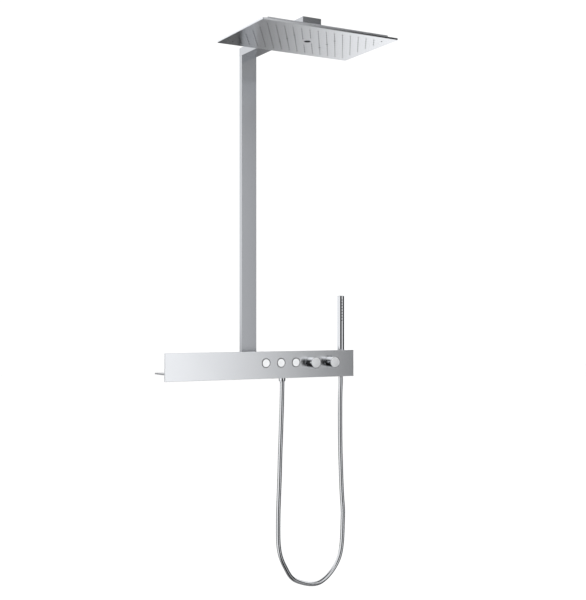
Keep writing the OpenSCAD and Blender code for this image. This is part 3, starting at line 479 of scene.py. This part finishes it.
class Finish:
    """A material under construction: its tree, its Principled shader and its coordinates."""

    def __init__(self, name, stretch=(1, 1, 1), uv=False):
        self.material = bpy.data.materials.new(name)
        self.material.use_nodes = True
        self.tree = self.material.node_tree
        self.shader = self.tree.nodes["Principled BSDF"]
        coords = self.tree.nodes.new("ShaderNodeTexCoord")
        mapping = self.tree.nodes.new("ShaderNodeMapping")
        mapping.inputs["Scale"].default_value = stretch
        self.tree.links.new(coords.outputs["UV" if uv else "Object"], mapping.inputs["Vector"])
        self.vector = mapping.outputs["Vector"]

    def effect(self, group, **values):
        node = self.tree.nodes.new("ShaderNodeGroup")
        node.node_tree = group
        self.tree.links.new(self.vector, node.inputs["Vector"])
        for label, value in values.items():
            node.inputs[label].default_value = value
        return node

    def tint(self, fac, dark, light):
        mix = self.tree.nodes.new("ShaderNodeMix")
        mix.data_type = "RGBA"
        mix.inputs["A"].default_value = (*dark, 1)
        mix.inputs["B"].default_value = (*light, 1)
        self.tree.links.new(fac, mix.inputs["Factor"])
        self.tree.links.new(mix.outputs["Result"], self.shader.inputs["Base Color"])

    def bump(self, height, strength, distance):
        node = self.tree.nodes.new("ShaderNodeBump")
        node.inputs["Strength"].default_value = strength
        node.inputs["Distance"].default_value = distance
        self.tree.links.new(height, node.inputs["Height"])
        self.tree.links.new(node.outputs["Normal"], self.shader.inputs["Normal"])

    def rough(self, value):
        self.tree.links.new(value, self.shader.inputs["Roughness"])

    def rough_by(self, tone, low, high):
        """Roughness from low to high as the tone goes through its middle."""
        self.rough(map_range(self.tree, tone, 0.3, 0.7, low, high))


def shade(colour, factor):
    return tuple(min(1.0, c * factor) for c in colour)


def polished(name, colour, roughness, variation=0.03, marks=0.05, peel=0.02):
    """Chrome or polished steel."""
    made = Finish(name)
    made.shader.inputs["Metallic"].default_value = 1.0
    effect = made.effect(polish_group(), Roughness=roughness, Variation=variation, Marks=marks)
    made.tint(effect.outputs["Mark"], colour, shade(colour, 0.94))
    made.rough(effect.outputs["Roughness"])
    made.bump(effect.outputs["Height"], peel, 0.00005)
    return made.material


def drawn(name, colour, roughness, stretch, scale=900.0, depth=0.25):
    """Satin metal with lines along one axis."""
    made = Finish(name, stretch)
    made.shader.inputs["Metallic"].default_value = 1.0
    made.shader.inputs["Anisotropic"].default_value = 0.5
    effect = made.effect(grain_group(), Scale=scale)
    made.tint(effect.outputs["Tone"], shade(colour, 0.86), shade(colour, 1.08))
    made.rough_by(effect.outputs["Tone"], roughness * 0.8, roughness * 1.25)
    made.bump(effect.outputs["Height"], depth, 0.00006)
    return made.material


def moulded(name, colour, roughness, peel=0.15, scale=700.0, metallic=0.0, specular=0.5):
    """Plastic, rubber or cast metal."""
    made = Finish(name)
    made.shader.inputs["Metallic"].default_value = metallic
    made.shader.inputs["Specular IOR Level"].default_value = specular
    effect = made.effect(mould_group(), Scale=scale)
    made.tint(effect.outputs["Tone"], shade(colour, 0.86), shade(colour, 1.1))
    made.rough_by(effect.outputs["Tone"], roughness * 0.85, roughness * 1.15)
    made.bump(effect.outputs["Height"], peel, 0.0001)
    return made.material


def turned_face(name, colour, roughness, centre):
    """Satin face with the fine rings that a lathe leaves, centred on the piece."""
    made = Finish(name)
    mapping = made.vector.node
    mapping.inputs["Location"].default_value = -Vector(centre)
    rings = made.tree.nodes.new("ShaderNodeTexWave")
    rings.wave_type = "RINGS"
    rings.rings_direction = "Y"
    rings.inputs["Scale"].default_value = 900.0
    rings.inputs["Distortion"].default_value = 1.5
    made.tree.links.new(made.vector, rings.inputs["Vector"])
    made.shader.inputs["Metallic"].default_value = 0.7
    effect = made.effect(mould_group(), Scale=300.0)
    made.tint(effect.outputs["Tone"], shade(colour, 0.95), shade(colour, 1.04))
    made.rough_by(effect.outputs["Tone"], roughness * 0.9, roughness * 1.1)
    made.bump(rings.outputs["Fac"], 0.12, 0.00005)
    return made.material


_made = {}


def material(name):
    """Each finish is built once, from its own maker."""
    if name not in _made:
        _made[name] = MAKERS[name]()
    return _made[name]


def hose_sleeve():
    """Clear-coated metal-effect sleeve, its gloss laid out along the hose."""
    # The hose's colour is the panel's chrome darkened: painted shade
    colour = shade(colours().mirror, 0.72)
    made = Finish("hose_sleeve", uv=True)
    made.shader.inputs["Metallic"].default_value = 1.0
    effect = made.effect(polish_group(), Roughness=0.10, Variation=0.05, Marks=0.0)
    made.tint(effect.outputs["Height"], shade(colour, 0.93), shade(colour, 1.03))
    made.rough(effect.outputs["Roughness"])
    made.shader.inputs["Coat Weight"].default_value = 0.35
    return made.material


MAKERS = {
    "mirror_chrome": lambda: polished("mirror_chrome", colours().mirror, 0.20, 0.05, 0.04),
    "profile_chrome": lambda: polished("profile_chrome", colours().profile, 0.16, 0.06, 0.04),
    "plate_steel": lambda: polished("plate_steel", colours().plate, 0.17, 0.06, 0.05),
    "housing_steel": lambda: drawn("housing_steel", colours().satin, 0.28, (0.02, 1, 1)),
    # The knobs', baton's and nuts' chrome is the panel's chrome darkened: painted shade
    "bright_chrome": lambda: polished(
        "bright_chrome", shade(colours().mirror, 0.80), 0.03, 0.04, 0.04),
    "button_gloss": lambda: moulded("button_gloss", colours().button, 0.22, 0.03),
    "ring_black": lambda: moulded("ring_black", (0.02, 0.02, 0.022), 0.5),
    "casing_black": lambda: moulded("casing_black", (0.03, 0.031, 0.033), 0.55, 0.35, 420.0),
    "safety_grey": lambda: moulded("safety_grey", (0.05, 0.051, 0.055), 0.38),
    "silicone": lambda: moulded(
        "silicone", colours().rubber, 0.60, 0.1, 900.0, specular=0.08),
    "seal_rubber": lambda: moulded("seal_rubber", (0.02, 0.02, 0.02), 0.6),
    "inner_plastic": lambda: moulded("inner_plastic", (0.70, 0.68, 0.60), 0.45),
    "cartridge_plastic": lambda: moulded("cartridge_plastic", (0.10, 0.11, 0.12), 0.42),
    "raw_brass": lambda: moulded("raw_brass", colours().brass, 0.30, 0.25, 260.0, metallic=1.0),
    "copper_pipe": lambda: drawn("copper_pipe", colours().copper, 0.30, (1, 1, 0.02)),
    "stainless": lambda: drawn("stainless", (0.58, 0.58, 0.59), 0.32, (0.03, 1, 1)),
    "spring_steel": lambda: polished("spring_steel", (0.5, 0.5, 0.51), 0.2),
    "plated": lambda: polished("plated", (0.72, 0.73, 0.75), 0.10, 0.08, 0.10),
    "hose_sleeve": hose_sleeve,
}

# Finishes of the CAD nodes that show as they are
NODE_FINISHES = {
    "profile_chrome": ("riser_tube", "arm_elbow", "head_carrier"),
    "housing_steel": ("head_neck",),
    "casing_black": ("rear_casing", "handset_holder"),
    "stainless": (
        "wall_bracket", "joint_sleeve", "base_plate", "wall_screws", "panel_screws", "head_screws"),
    "spring_steel": ("button_springs", "safety_spring"),
    "plated": ("rosettes", "union_nuts"),
    "raw_brass": (
        "valve_body", "body_plugs", "wall_unions", "outlet_nipple", "outlet_ferrule",
        "handset_ferrule", "handset_connector", "flow_spindle", "temperature_spindle",
        "pipe_coupling"),
    "copper_pipe": ("riser_pipe", "arm_pipe"),
    "cartridge_plastic": (
        "push_cartridge_1", "push_cartridge_2", "push_cartridge_3", "flow_cartridge",
        "temperature_cartridge"),
    "inner_plastic": ("temperature_stop_ring", "jet_chamber", "handset_insert"),
    "seal_rubber": ("valve_seals", "head_seal", "handset_washer"),
    "safety_grey": ("safety_button",),
    "ring_black": ("button_rings",),
}


# ---------- operators ----------

class SHOWER_OT_frame_finishes(bpy.types.Operator):
    """Give each CAD node that shows its own finish"""
    bl_idname = "shower.frame_finishes"
    bl_label = "Frame finishes"

    def execute(self, context):
        for finish_name, nodes in NODE_FINISHES.items():
            for node in nodes:
                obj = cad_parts[node]
                made = material(finish_name)
                if not obj.material_slots:
                    obj.data.materials.append(made)
                for slot in obj.material_slots:
                    slot.material = made
        return {"FINISHED"}


def hose_route():
    """The hose's curve with its two ends, which are the ferrules' lower ends."""
    (outlet_low, _), (baton_low, _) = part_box("outlet_ferrule"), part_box("handset_ferrule")
    outlet_x, baton_x = cad_centre("outlet_ferrule").x, cad_centre("handset_ferrule").x
    route = [(outlet_x, outlet_low[2])]
    for x, z in HOSE_CURVE:
        share = min(max((x - DRAWN_OUTLET_X) / (DRAWN_BATON_X - DRAWN_OUTLET_X), 0), 1)
        shift = (1 - share) * (outlet_x - DRAWN_OUTLET_X) + share * (baton_x - DRAWN_BATON_X)
        route.append((x + shift, z))
    return route + [(baton_x, baton_low[2])]


def smooth_route(points, step):
    """Points a step apart along the curve through the route's points."""
    pts = [Vector((x, 0, z)) for x, z in points]
    ends = [pts[0] * 2 - pts[1]] + pts + [pts[-1] * 2 - pts[-2]]
    fine = []
    for p0, p1, p2, p3 in zip(ends, ends[1:], ends[2:], ends[3:]):
        for i in range(SPAN_STEPS):
            t = i / SPAN_STEPS
            fine.append(0.5 * (2 * p1 + (p2 - p0) * t + (2 * p0 - 5 * p1 + 4 * p2 - p3) * t * t
                               + (3 * p1 - p0 - 3 * p2 + p3) * t ** 3))
    fine.append(pts[-1])
    total = sum((b - a).length for a, b in zip(fine, fine[1:]))
    count = round(total / step)
    even, walked, target = [fine[0]], 0.0, total / count
    for a, b in zip(fine, fine[1:]):
        span = (b - a).length
        while walked + span >= target - 1e-9 and len(even) < count:
            even.append(a + (b - a) * ((target - walked) / span))
            target += total / count
        walked += span
    even.append(fine[-1])
    return even, total


class SHOWER_OT_hose(bpy.types.Operator):
    """Sweep the hose along its hanging loop, with the shallow spiral of its band"""
    bl_idname = "shower.hose"
    bl_label = "Hose"

    def execute(self, context):
        plane_y = cad_centre("handset_ferrule").y
        radius = sizes().hose_diameter / 2
        sides = HOSE_SIDES
        route = hose_route()
        centres, length = smooth_route(route, sizes().hose_band / 4)
        mesh = bpy.data.meshes.new("hose_tube")
        bm = bmesh.new()
        uv_layer = bm.loops.layers.uv.new("UVMap")
        rings = []
        last = len(centres) - 1
        for i, centre in enumerate(centres):
            tangent = (centres[min(i + 1, last)] - centres[max(i - 1, 0)]).normalized()
            side = Vector((tangent.z, 0, -tangent.x))
            along = length * i / last
            ring = []
            for k in range(sides):
                angle = 2 * math.pi * k / sides
                turn = along / sizes().hose_band + k / sides
                groove = max(0.0, math.cos(2 * math.pi * turn)) ** 6
                r = radius - sizes().hose_groove * groove
                offset = side * math.cos(angle) * r + Vector((0, math.sin(angle) * r, 0))
                ring.append(bm.verts.new(centre + offset + Vector((0, plane_y, 0))))
            rings.append(ring)
        for i in range(last):
            for k in range(sides):
                k2 = (k + 1) % sides
                face = bm.faces.new((rings[i][k], rings[i][k2], rings[i + 1][k2], rings[i + 1][k]))
                corners = ((k, i), (k + 1, i), (k + 1, i + 1), (k, i + 1))
                for loop, (u, v) in zip(face.loops, corners):
                    loop[uv_layer].uv = (u / sides * BAND_WIDTH, length * v / last)
        bm.faces.new(reversed(rings[0]))
        bm.faces.new(rings[-1])
        bmesh.ops.recalc_face_normals(bm, faces=bm.faces)
        bm.to_mesh(mesh)
        bm.free()
        obj = bpy.data.objects.new("hose_tube", mesh)
        context.collection.objects.link(obj)
        smooth(obj, 60)
        obj.data.materials.append(material("hose_sleeve"))
        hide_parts("hose")
        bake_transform(obj)
        return {"FINISHED"}


class SHOWER_OT_rain_head(bpy.types.Operator):
    """Build the rain head's face plate and its inset upper housing"""
    bl_idname = "shower.rain_head"
    bl_label = "Rain head"

    def execute(self, context):
        low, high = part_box("head_plate")
        plate = round_corners(block("rain_plate", low, high), sizes().plate_corner)
        round_edges(plate, sizes().plate_edge, 2)
        finish(plate, material("plate_steel"), nodes=["head_plate"])
        low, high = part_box("head_housing")
        housing = round_corners(block("rain_housing", low, high), sizes().plate_corner)
        round_edges(housing, sizes().housing_edge, 4)
        finish(housing, material("housing_steel"), nodes=["head_housing"])
        return {"FINISHED"}


def island_centres(node, across=1):
    """The middle of each loose part of a CAD node, in x and in y or z, each place once."""
    bm = bmesh.new()
    bm.from_mesh(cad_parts[node].data)
    seen, centres = set(), {}
    for first in bm.verts:
        if first in seen:
            continue
        seen.add(first)
        part, queue = [], [first]
        while queue:
            vert = queue.pop()
            part.append(vert.co)
            for edge in vert.link_edges:
                other = edge.other_vert(vert)
                if other not in seen:
                    seen.add(other)
                    queue.append(other)
        xs, ys = [c.x for c in part], [c[across] for c in part]
        centre = ((min(xs) + max(xs)) / 2, (min(ys) + max(ys)) / 2)
        centres[tuple(round(v, 4) for v in centre)] = centre
    bm.free()
    return list(centres.values())


class SHOWER_OT_rain_nozzles(bpy.types.Operator):
    """Turn the silicone nozzles of the rain head and set one in each place of the lattice"""
    bl_idname = "shower.rain_nozzles"
    bl_label = "Rain nozzles"

    def execute(self, context):
        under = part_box("head_plate")[0][2]
        kinds = (
            ("small_nozzles", "small", 14, 0.45 * MM),
            ("large_nozzles", "large", 28, 1.6 * MM))
        for node, size, steps, hole in kinds:
            low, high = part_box(node)
            tip = under - low[2]
            places = island_centres(node)
            r = high[0] - max(x for x, _ in places) - NOZZLE_COLLAR
            outline = [(0.0, 0.7 * tip), (hole, 0.7 * tip), (hole, 0.05 * MM)]
            outline += [(hole + 0.15 * MM, 0.0), (r * 0.62, 0.0), (r * 0.74, 0.2 * tip)]
            outline += [(r * 0.92, tip * 0.85), (r, tip), (r, tip + 3 * MM), (0.0, tip + 3 * MM)]
            nozzle = turned(size + "_spray", outline, (0, 0, 0), (0, 0, 1), steps)
            smooth(nozzle, 45)
            spray = copies(nozzle, [(x, y, low[2]) for x, y in places])
            finish(spray, material("silicone"), nodes=[node])
        low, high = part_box("centre_jet")
        tip = under - low[2]
        c = cad_centre("centre_jet")
        r = (high[0] - low[0]) / 2 - NOZZLE_COLLAR
        outline = [(0.0, 0.55 * tip), (r * 0.45, 0.55 * tip), (r * 0.5, 0.8 * tip)]
        outline += [(r * 0.56, 0.5 * tip), (r - 2.2 * MM, 0.35 * tip), (r - 1.6 * MM, 0.1 * tip)]
        outline += [(r - 1.3 * MM, 0.0), (r - 0.3 * MM, 0.0), (r, 0.25 * MM)]
        outline += [(r, tip + 5 * MM), (0.0, tip + 5 * MM)]
        jet = turned("jet_ring", outline, (c.x, c.y, low[2]), (0, 0, 1), 48)
        smooth(jet, 40)
        finish(jet, material("silicone"), nodes=["centre_jet"])
        return {"FINISHED"}


class SHOWER_OT_panel(bpy.types.Operator):
    """Build the front panel with its round openings"""
    bl_idname = "shower.panel"
    bl_label = "Front panel"

    def execute(self, context):
        low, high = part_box("front_panel")
        panel = block("mirror_panel", low, high)
        ring_r = cad_size("button_rings", 2) / 2 - RING_FLANGE
        holes = [("button_%d" % i, ring_r) for i in (1, 2, 3)]
        holes += [("flow_spindle", SPINDLE_HOLE_R), ("temperature_spindle", SPINDLE_HOLE_R)]
        cutters = []
        for node, r in holes:
            c = cad_centre(node)
            start, end = (c.x, low[1] - 0.01, c.z), (c.x, high[1] + 0.01, c.z)
            cutters.append(rod("cut", start, end, r))
        drill(panel, cutters)
        round_edges(panel, sizes().panel_edge, 2)
        finish(panel, material("mirror_chrome"), nodes=["front_panel"])
        return {"FINISHED"}


class SHOWER_OT_buttons(bpy.types.Operator):
    """Turn the three push buttons with their shallow centre mark"""
    bl_idname = "shower.buttons"
    bl_label = "Buttons"

    def execute(self, context):
        for i in (1, 2, 3):
            node = "button_%d" % i
            low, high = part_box(node)
            c = cad_centre(node)
            r = cad_size(node, 0) / 2
            back = high[1] - low[1]
            outline = [(0.0, 0.35 * MM), (2.2 * MM, 0.35 * MM), (2.6 * MM, 0.1 * MM)]
            outline += [(r * 0.55, 0.02 * MM), (r * 0.8, 0.06 * MM)]
            outline += [(r - 0.9 * MM, 0.18 * MM), (r - 0.35 * MM, 0.4 * MM)]
            outline += [(r, 0.95 * MM), (r, 4 * MM), (4 * MM, 4 * MM)]
            outline += [(4 * MM, back), (0.0, back)]
            button = turned("push_button_%d" % i, outline, (c.x, low[1], c.z), (0, 1, 0))
            smooth(button, 40)
            finish(button, material("button_gloss"), body=node, nodes=[node])
        return {"FINISHED"}


class SHOWER_OT_knobs(bpy.types.Operator):
    """Turn the two knobs and their satin faces"""
    bl_idname = "shower.knobs"
    bl_label = "Knobs"

    def execute(self, context):
        for kind in ("flow", "temperature"):
            node = kind + "_knob"
            low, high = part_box(node)
            spindle = cad_centre(kind + "_spindle")
            r = (high[0] - low[0]) / 2
            deep = high[1] - low[1]
            e = sizes().knob_edge
            seat_r = r - CAP_SEAT_R
            outline = [(0.0, 1.2 * MM), (seat_r, 1.2 * MM), (seat_r, 0.25 * MM)]
            outline += [(r - 1.3 * MM, 0.0)] + corner(r - e, e, e, -90)
            outline += [(r, deep - 0.5 * MM), (r - 0.4 * MM, deep), (r - KNOB_WALL, deep)]
            outline += [(r - KNOB_WALL, KNOB_FRONT), (0.0, KNOB_FRONT)]
            knob = turned(node + "_body", outline, (spindle.x, low[1], spindle.z), (0, 1, 0))
            if kind == "temperature":
                c = cad_centre("safety_button")
                start, end = (c.x, c.y, c.z - 0.004), (c.x, c.y, c.z + 0.02)
                drill(knob, [rod("cut", start, end, SAFETY_HOLE_R, 32)])
            smooth(knob, 32)
            finish(knob, material("bright_chrome"), body=node, nodes=[node])
            cap_low, cap_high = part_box(node + "_cap")
            cap_r = (cap_high[0] - cap_low[0]) / 2
            outline = [(0.0, 0.0), (cap_r - 0.5 * MM, 0.0), (cap_r - 0.12 * MM, 0.12 * MM)]
            outline += [(cap_r, 0.5 * MM), (cap_r, 1.15 * MM), (0.0, 1.15 * MM)]
            cap = turned(node + "_face", outline, (spindle.x, cap_low[1], spindle.z), (0, 1, 0))
            smooth(cap, 32)
            face = turned_face(
                node + "_face", colours().knob_face, 0.60, (spindle.x, 0, spindle.z))
            finish(cap, face, body=node, nodes=[node + "_cap"])
        return {"FINISHED"}


class SHOWER_OT_baton(bpy.types.Operator):
    """Turn the baton hand shower and its cap, and set its spray nozzles in pairs"""
    bl_idname = "shower.baton"
    bl_label = "Baton"

    def execute(self, context):
        low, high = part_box("handset_tube")
        cap_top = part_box("handset_cap")[1][2]
        c = cad_centre("handset_tube")
        r = (high[0] - low[0]) / 2
        long = high[2] - low[2]
        e, inner = 0.3 * MM, r - BATON_WALL
        outline = [(inner, 0.0), (r - e, 0.0), (r, e), (r, long - e), (r - e, long)]
        outline += [(inner, long), (inner, 0.0)]
        tube = turned("baton_tube", outline, (c.x, c.y, low[2]), (0, 0, 1))
        smooth(tube, 32)
        chrome = material("bright_chrome")
        finish(tube, chrome, body="handset", nodes=["handset_tube"])
        top = cap_top - high[2]
        e = sizes().baton_edge
        plug_r = inner - 0.1 * MM
        outline = [(0.0, -BATON_PLUG), (plug_r, -BATON_PLUG), (plug_r, 0.0)]
        outline += [(r - 0.3 * MM, 0.0), (r, 0.3 * MM)]
        outline += corner(r - e, top - e, e, 0) + [(0.0, top)]
        cap = turned("baton_cap", outline, (c.x, c.y, high[2]), (0, 0, 1))
        smooth(cap, 32)
        finish(cap, chrome, body="handset", nodes=["handset_cap"])
        n_low, n_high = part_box("handset_nozzles")
        places = island_centres("handset_nozzles", 2)
        nr = n_high[0] - max(x for x, _ in places)
        deep = n_high[1] - n_low[1]
        outline = [(0.0, 0.35 * MM), (0.5 * MM, 0.3 * MM), (0.7 * MM, 0.02 * MM)]
        outline += [(nr - 0.25 * MM, 0.0), (nr, 0.4 * MM), (nr, deep), (0.0, deep)]
        nozzle = turned("baton_nozzles", outline, (0, 0, 0), (0, 1, 0), 20)
        smooth(nozzle, 40)
        nozzles = copies(nozzle, [(x, n_low[1], z) for x, z in places])
        finish(
            nozzles, material("silicone"), body="handset",
            nodes=["handset_nozzles"])
        return {"FINISHED"}


class SHOWER_OT_hose_nuts(bpy.types.Operator):
    """Turn the cone nut under the baton and the nut on the hose outlet"""
    bl_idname = "shower.hose_nuts"
    bl_label = "Hose nuts"

    def execute(self, context):
        low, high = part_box("handset_nut")
        c = cad_centre("handset_nut")
        long = high[2] - low[2]
        wide, narrow, bore, seat = (high[0] - low[0]) / 2, CONE_END_R, HOSE_BORE_R, 24 * MM
        outline = [(bore, 0.0), (narrow - 0.6 * MM, 0.0), (narrow, 0.6 * MM)]
        outline += [(wide - 0.1 * MM, long - 6 * MM), (wide, long - 5.6 * MM)]
        outline += [(wide, long - 0.5 * MM), (wide - 0.5 * MM, long)]
        outline += [(NUT_THREAD_R, long), (NUT_THREAD_R, seat), (bore, seat), (bore, 0.0)]
        nut = turned("cone_nut", outline, (c.x, c.y, low[2]), (0, 0, 1))
        smooth(nut, 30)
        chrome = material("bright_chrome")
        finish(nut, chrome, body="handset", nodes=["handset_nut"])
        low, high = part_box("outlet_nut")
        c = cad_centre("outlet_nut")
        long = high[2] - low[2]
        wide, seat = (high[0] - low[0]) / 2, 18 * MM
        outline = [(bore, 0.0), (wide - 1.4 * MM, 0.0), (wide - 0.6 * MM, 0.5 * MM)]
        outline += [(wide - 0.4 * MM, 3 * MM), (wide, 3.6 * MM)]
        outline += [(wide, long - 0.8 * MM), (wide - 0.8 * MM, long)]
        outline += [(NUT_THREAD_R, long), (NUT_THREAD_R, seat), (bore, seat), (bore, 0.0)]
        nut = turned("outlet_cone", outline, (c.x, c.y, low[2]), (0, 0, 1))
        smooth(nut, 30)
        finish(nut, chrome, nodes=["outlet_nut"])
        return {"FINISHED"}


# Dark areas of the studio, seen only in reflections: azimuth from -Y towards +X, half widths
# where each is full and where it has gone, the same for elevation, and darkness; in degrees
DARK_AREAS = [
    (-26, 18, 32, -24, 44, 58, 1.0),
    (59, 24, 37, -12, 30, 38, 1.0),
    (-170, 35, 46, -16, 12, 15, 0.95),
    (0, 180, 181, 90, 30, 50, 0.90),
    (27, 8, 20, 21, 4, 13, 0.60),
    (0, 180, 181, -90, 42, 66, 0.75),
    (0, 14, 28, -34, 12, 22, 0.80),
]
STUDIO_LEVEL = 1.15
STUDIO_TINT = (0.975, 0.985, 1.0, 1)
PLAIN_LEVEL = 1.08  # what everything but reflections sees

# The camera's place from the middle of the rain plate and its underside, its turn in degrees,
# its lens and how far its picture is moved up, as a share of the picture's longer side
CAMERA_PLACE = (-1.638, -2.800, -0.841)
CAMERA_TURN = 29.56
SENSOR = 36
LENS = SENSOR * 1.771
SHIFT_UP = 17 / 600


def soft_span(tree, angle, full, gone):
    """1 where the angle is under full, falling smoothly to 0 where it is over gone."""
    node = tree.nodes.new("ShaderNodeMapRange")
    node.interpolation_type = "SMOOTHSTEP"
    node.inputs["From Min"].default_value = math.radians(full)
    node.inputs["From Max"].default_value = math.radians(gone)
    node.inputs["To Min"].default_value = 1.0
    node.inputs["To Max"].default_value = 0.0
    tree.links.new(angle, node.inputs["Value"])
    return node.outputs["Result"]


def studio_world(context):
    """A white studio whose darker areas are seen only in reflections."""
    world = bpy.data.worlds.new("studio")
    context.scene.world = world
    world.use_nodes = True
    tree = world.node_tree
    tree.nodes.clear()
    coords = tree.nodes.new("ShaderNodeTexCoord")
    split = tree.nodes.new("ShaderNodeSeparateXYZ")
    tree.links.new(coords.outputs["Generated"], split.inputs["Vector"])
    forward = math_node(tree, "MULTIPLY", split.outputs["Y"], -1.0)
    turn = math_node(tree, "ARCTAN2", split.outputs["X"], forward)
    rise = math_node(tree, "ARCSINE", split.outputs["Z"])
    level = STUDIO_LEVEL
    for azimuth, az_full, az_gone, elevation, el_full, el_gone, dark in DARK_AREAS:
        away = math_node(tree, "SUBTRACT", turn, math.radians(azimuth))
        away = math_node(tree, "ARCCOSINE", math_node(tree, "COSINE", away))
        above = math_node(tree, "SUBTRACT", rise, math.radians(elevation))
        above = math_node(tree, "ABSOLUTE", above)
        across = soft_span(tree, away, az_full, az_gone)
        mask = math_node(tree, "MULTIPLY", across, soft_span(tree, above, el_full, el_gone))
        left = math_node(tree, "SUBTRACT", 1.0, math_node(tree, "MULTIPLY", mask, dark))
        level = math_node(tree, "MULTIPLY", level, left)
    paths = tree.nodes.new("ShaderNodeLightPath")
    plain = tree.nodes.new("ShaderNodeBackground")
    plain.inputs["Color"].default_value = (1, 1, 1, 1)
    plain.inputs["Strength"].default_value = PLAIN_LEVEL
    studio = tree.nodes.new("ShaderNodeBackground")
    studio.inputs["Color"].default_value = STUDIO_TINT
    tree.links.new(level, studio.inputs["Strength"])
    mix = tree.nodes.new("ShaderNodeMixShader")
    tree.links.new(paths.outputs["Is Glossy Ray"], mix.inputs["Fac"])
    tree.links.new(plain.outputs["Background"], mix.inputs[1])
    tree.links.new(studio.outputs["Background"], mix.inputs[2])
    out = tree.nodes.new("ShaderNodeOutputWorld")
    tree.links.new(mix.outputs["Shader"], out.inputs["Surface"])


class SHOWER_OT_stage(bpy.types.Operator):
    """Lay the pale floor, light the studio and set the camera"""
    bl_idname = "shower.stage"
    bl_label = "Stage"

    def execute(self, context):
        clear_selection()
        bpy.ops.mesh.primitive_plane_add(size=40, location=(0, 0, -sizes().floor_drop))
        floor = settle(named("floor"))
        made = Finish("floor_paint")
        made.shader.inputs["Roughness"].default_value = 0.9
        made.tint(noise(made.tree, made.vector, 3.0), (0.95, 0.95, 0.95), (0.97, 0.97, 0.97))
        floor.data.materials.append(made.material)
        floor.visible_glossy = False
        studio_world(context)
        bpy.ops.object.light_add(type="AREA", location=(-1.5, -3.0, 3.2))
        key = context.object
        key.name = "soft_key"
        key.data.energy = 60
        key.data.size = 3.0
        aim = Vector((0, 0, 0.3)) - key.location
        key.rotation_euler = aim.to_track_quat("-Z", "Y").to_euler()
        key.visible_glossy = False
        context.scene.view_settings.view_transform = "Standard"
        set_camera(context)
        return {"FINISHED"}


def set_camera(context):
    """The camera stands left of the object, level, a little above the controls."""
    centre = cad_centre("head_plate")
    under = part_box("head_plate")[0][2]
    data = bpy.data.cameras.new("camera")
    data.sensor_fit = "AUTO"
    data.sensor_width = SENSOR
    data.lens = LENS
    data.shift_y = SHIFT_UP
    camera = bpy.data.objects.new("camera", data)
    context.collection.objects.link(camera)
    camera.location = Vector((centre.x, centre.y, under)) + Vector(CAMERA_PLACE)
    camera.rotation_euler = (math.radians(90), 0, -math.radians(CAMERA_TURN))
    context.scene.camera = camera


class SHOWER_PT_panel(bpy.types.Panel):
    """Sizes, colours and pieces of the shower column"""
    bl_label = "Shower Column"
    bl_idname = "SHOWER_PT_panel"
    bl_space_type = "VIEW_3D"
    bl_region_type = "UI"
    bl_category = "Shower"

    def draw(self, context):
        for group in (context.scene.shower_sizes, context.scene.shower_colours):
            box = self.layout.box()
            for name in group.__annotations__:
                box.prop(group, name)
        for operator in OPERATORS:
            self.layout.operator(operator.bl_idname)


OPERATORS = (
    SHOWER_OT_stage,
    SHOWER_OT_frame_finishes,
    SHOWER_OT_hose,
    SHOWER_OT_rain_head,
    SHOWER_OT_rain_nozzles,
    SHOWER_OT_panel,
    SHOWER_OT_buttons,
    SHOWER_OT_knobs,
    SHOWER_OT_baton,
    SHOWER_OT_hose_nuts,
)
CLASSES = (ShowerSizes, ShowerColours, *OPERATORS, SHOWER_PT_panel)


def register():
    for cls in CLASSES:
        bpy.utils.register_class(cls)
    bpy.types.Scene.shower_sizes = bpy.props.PointerProperty(type=ShowerSizes)
    bpy.types.Scene.shower_colours = bpy.props.PointerProperty(type=ShowerColours)


def unregister():
    del bpy.types.Scene.shower_colours
    del bpy.types.Scene.shower_sizes
    for cls in reversed(CLASSES):
        bpy.utils.unregister_class(cls)


def main():
    register()
    for operator in OPERATORS:
        group, name = operator.bl_idname.split(".")
        getattr(getattr(bpy.ops, group), name)()


if __name__ == "__main__":
    main()
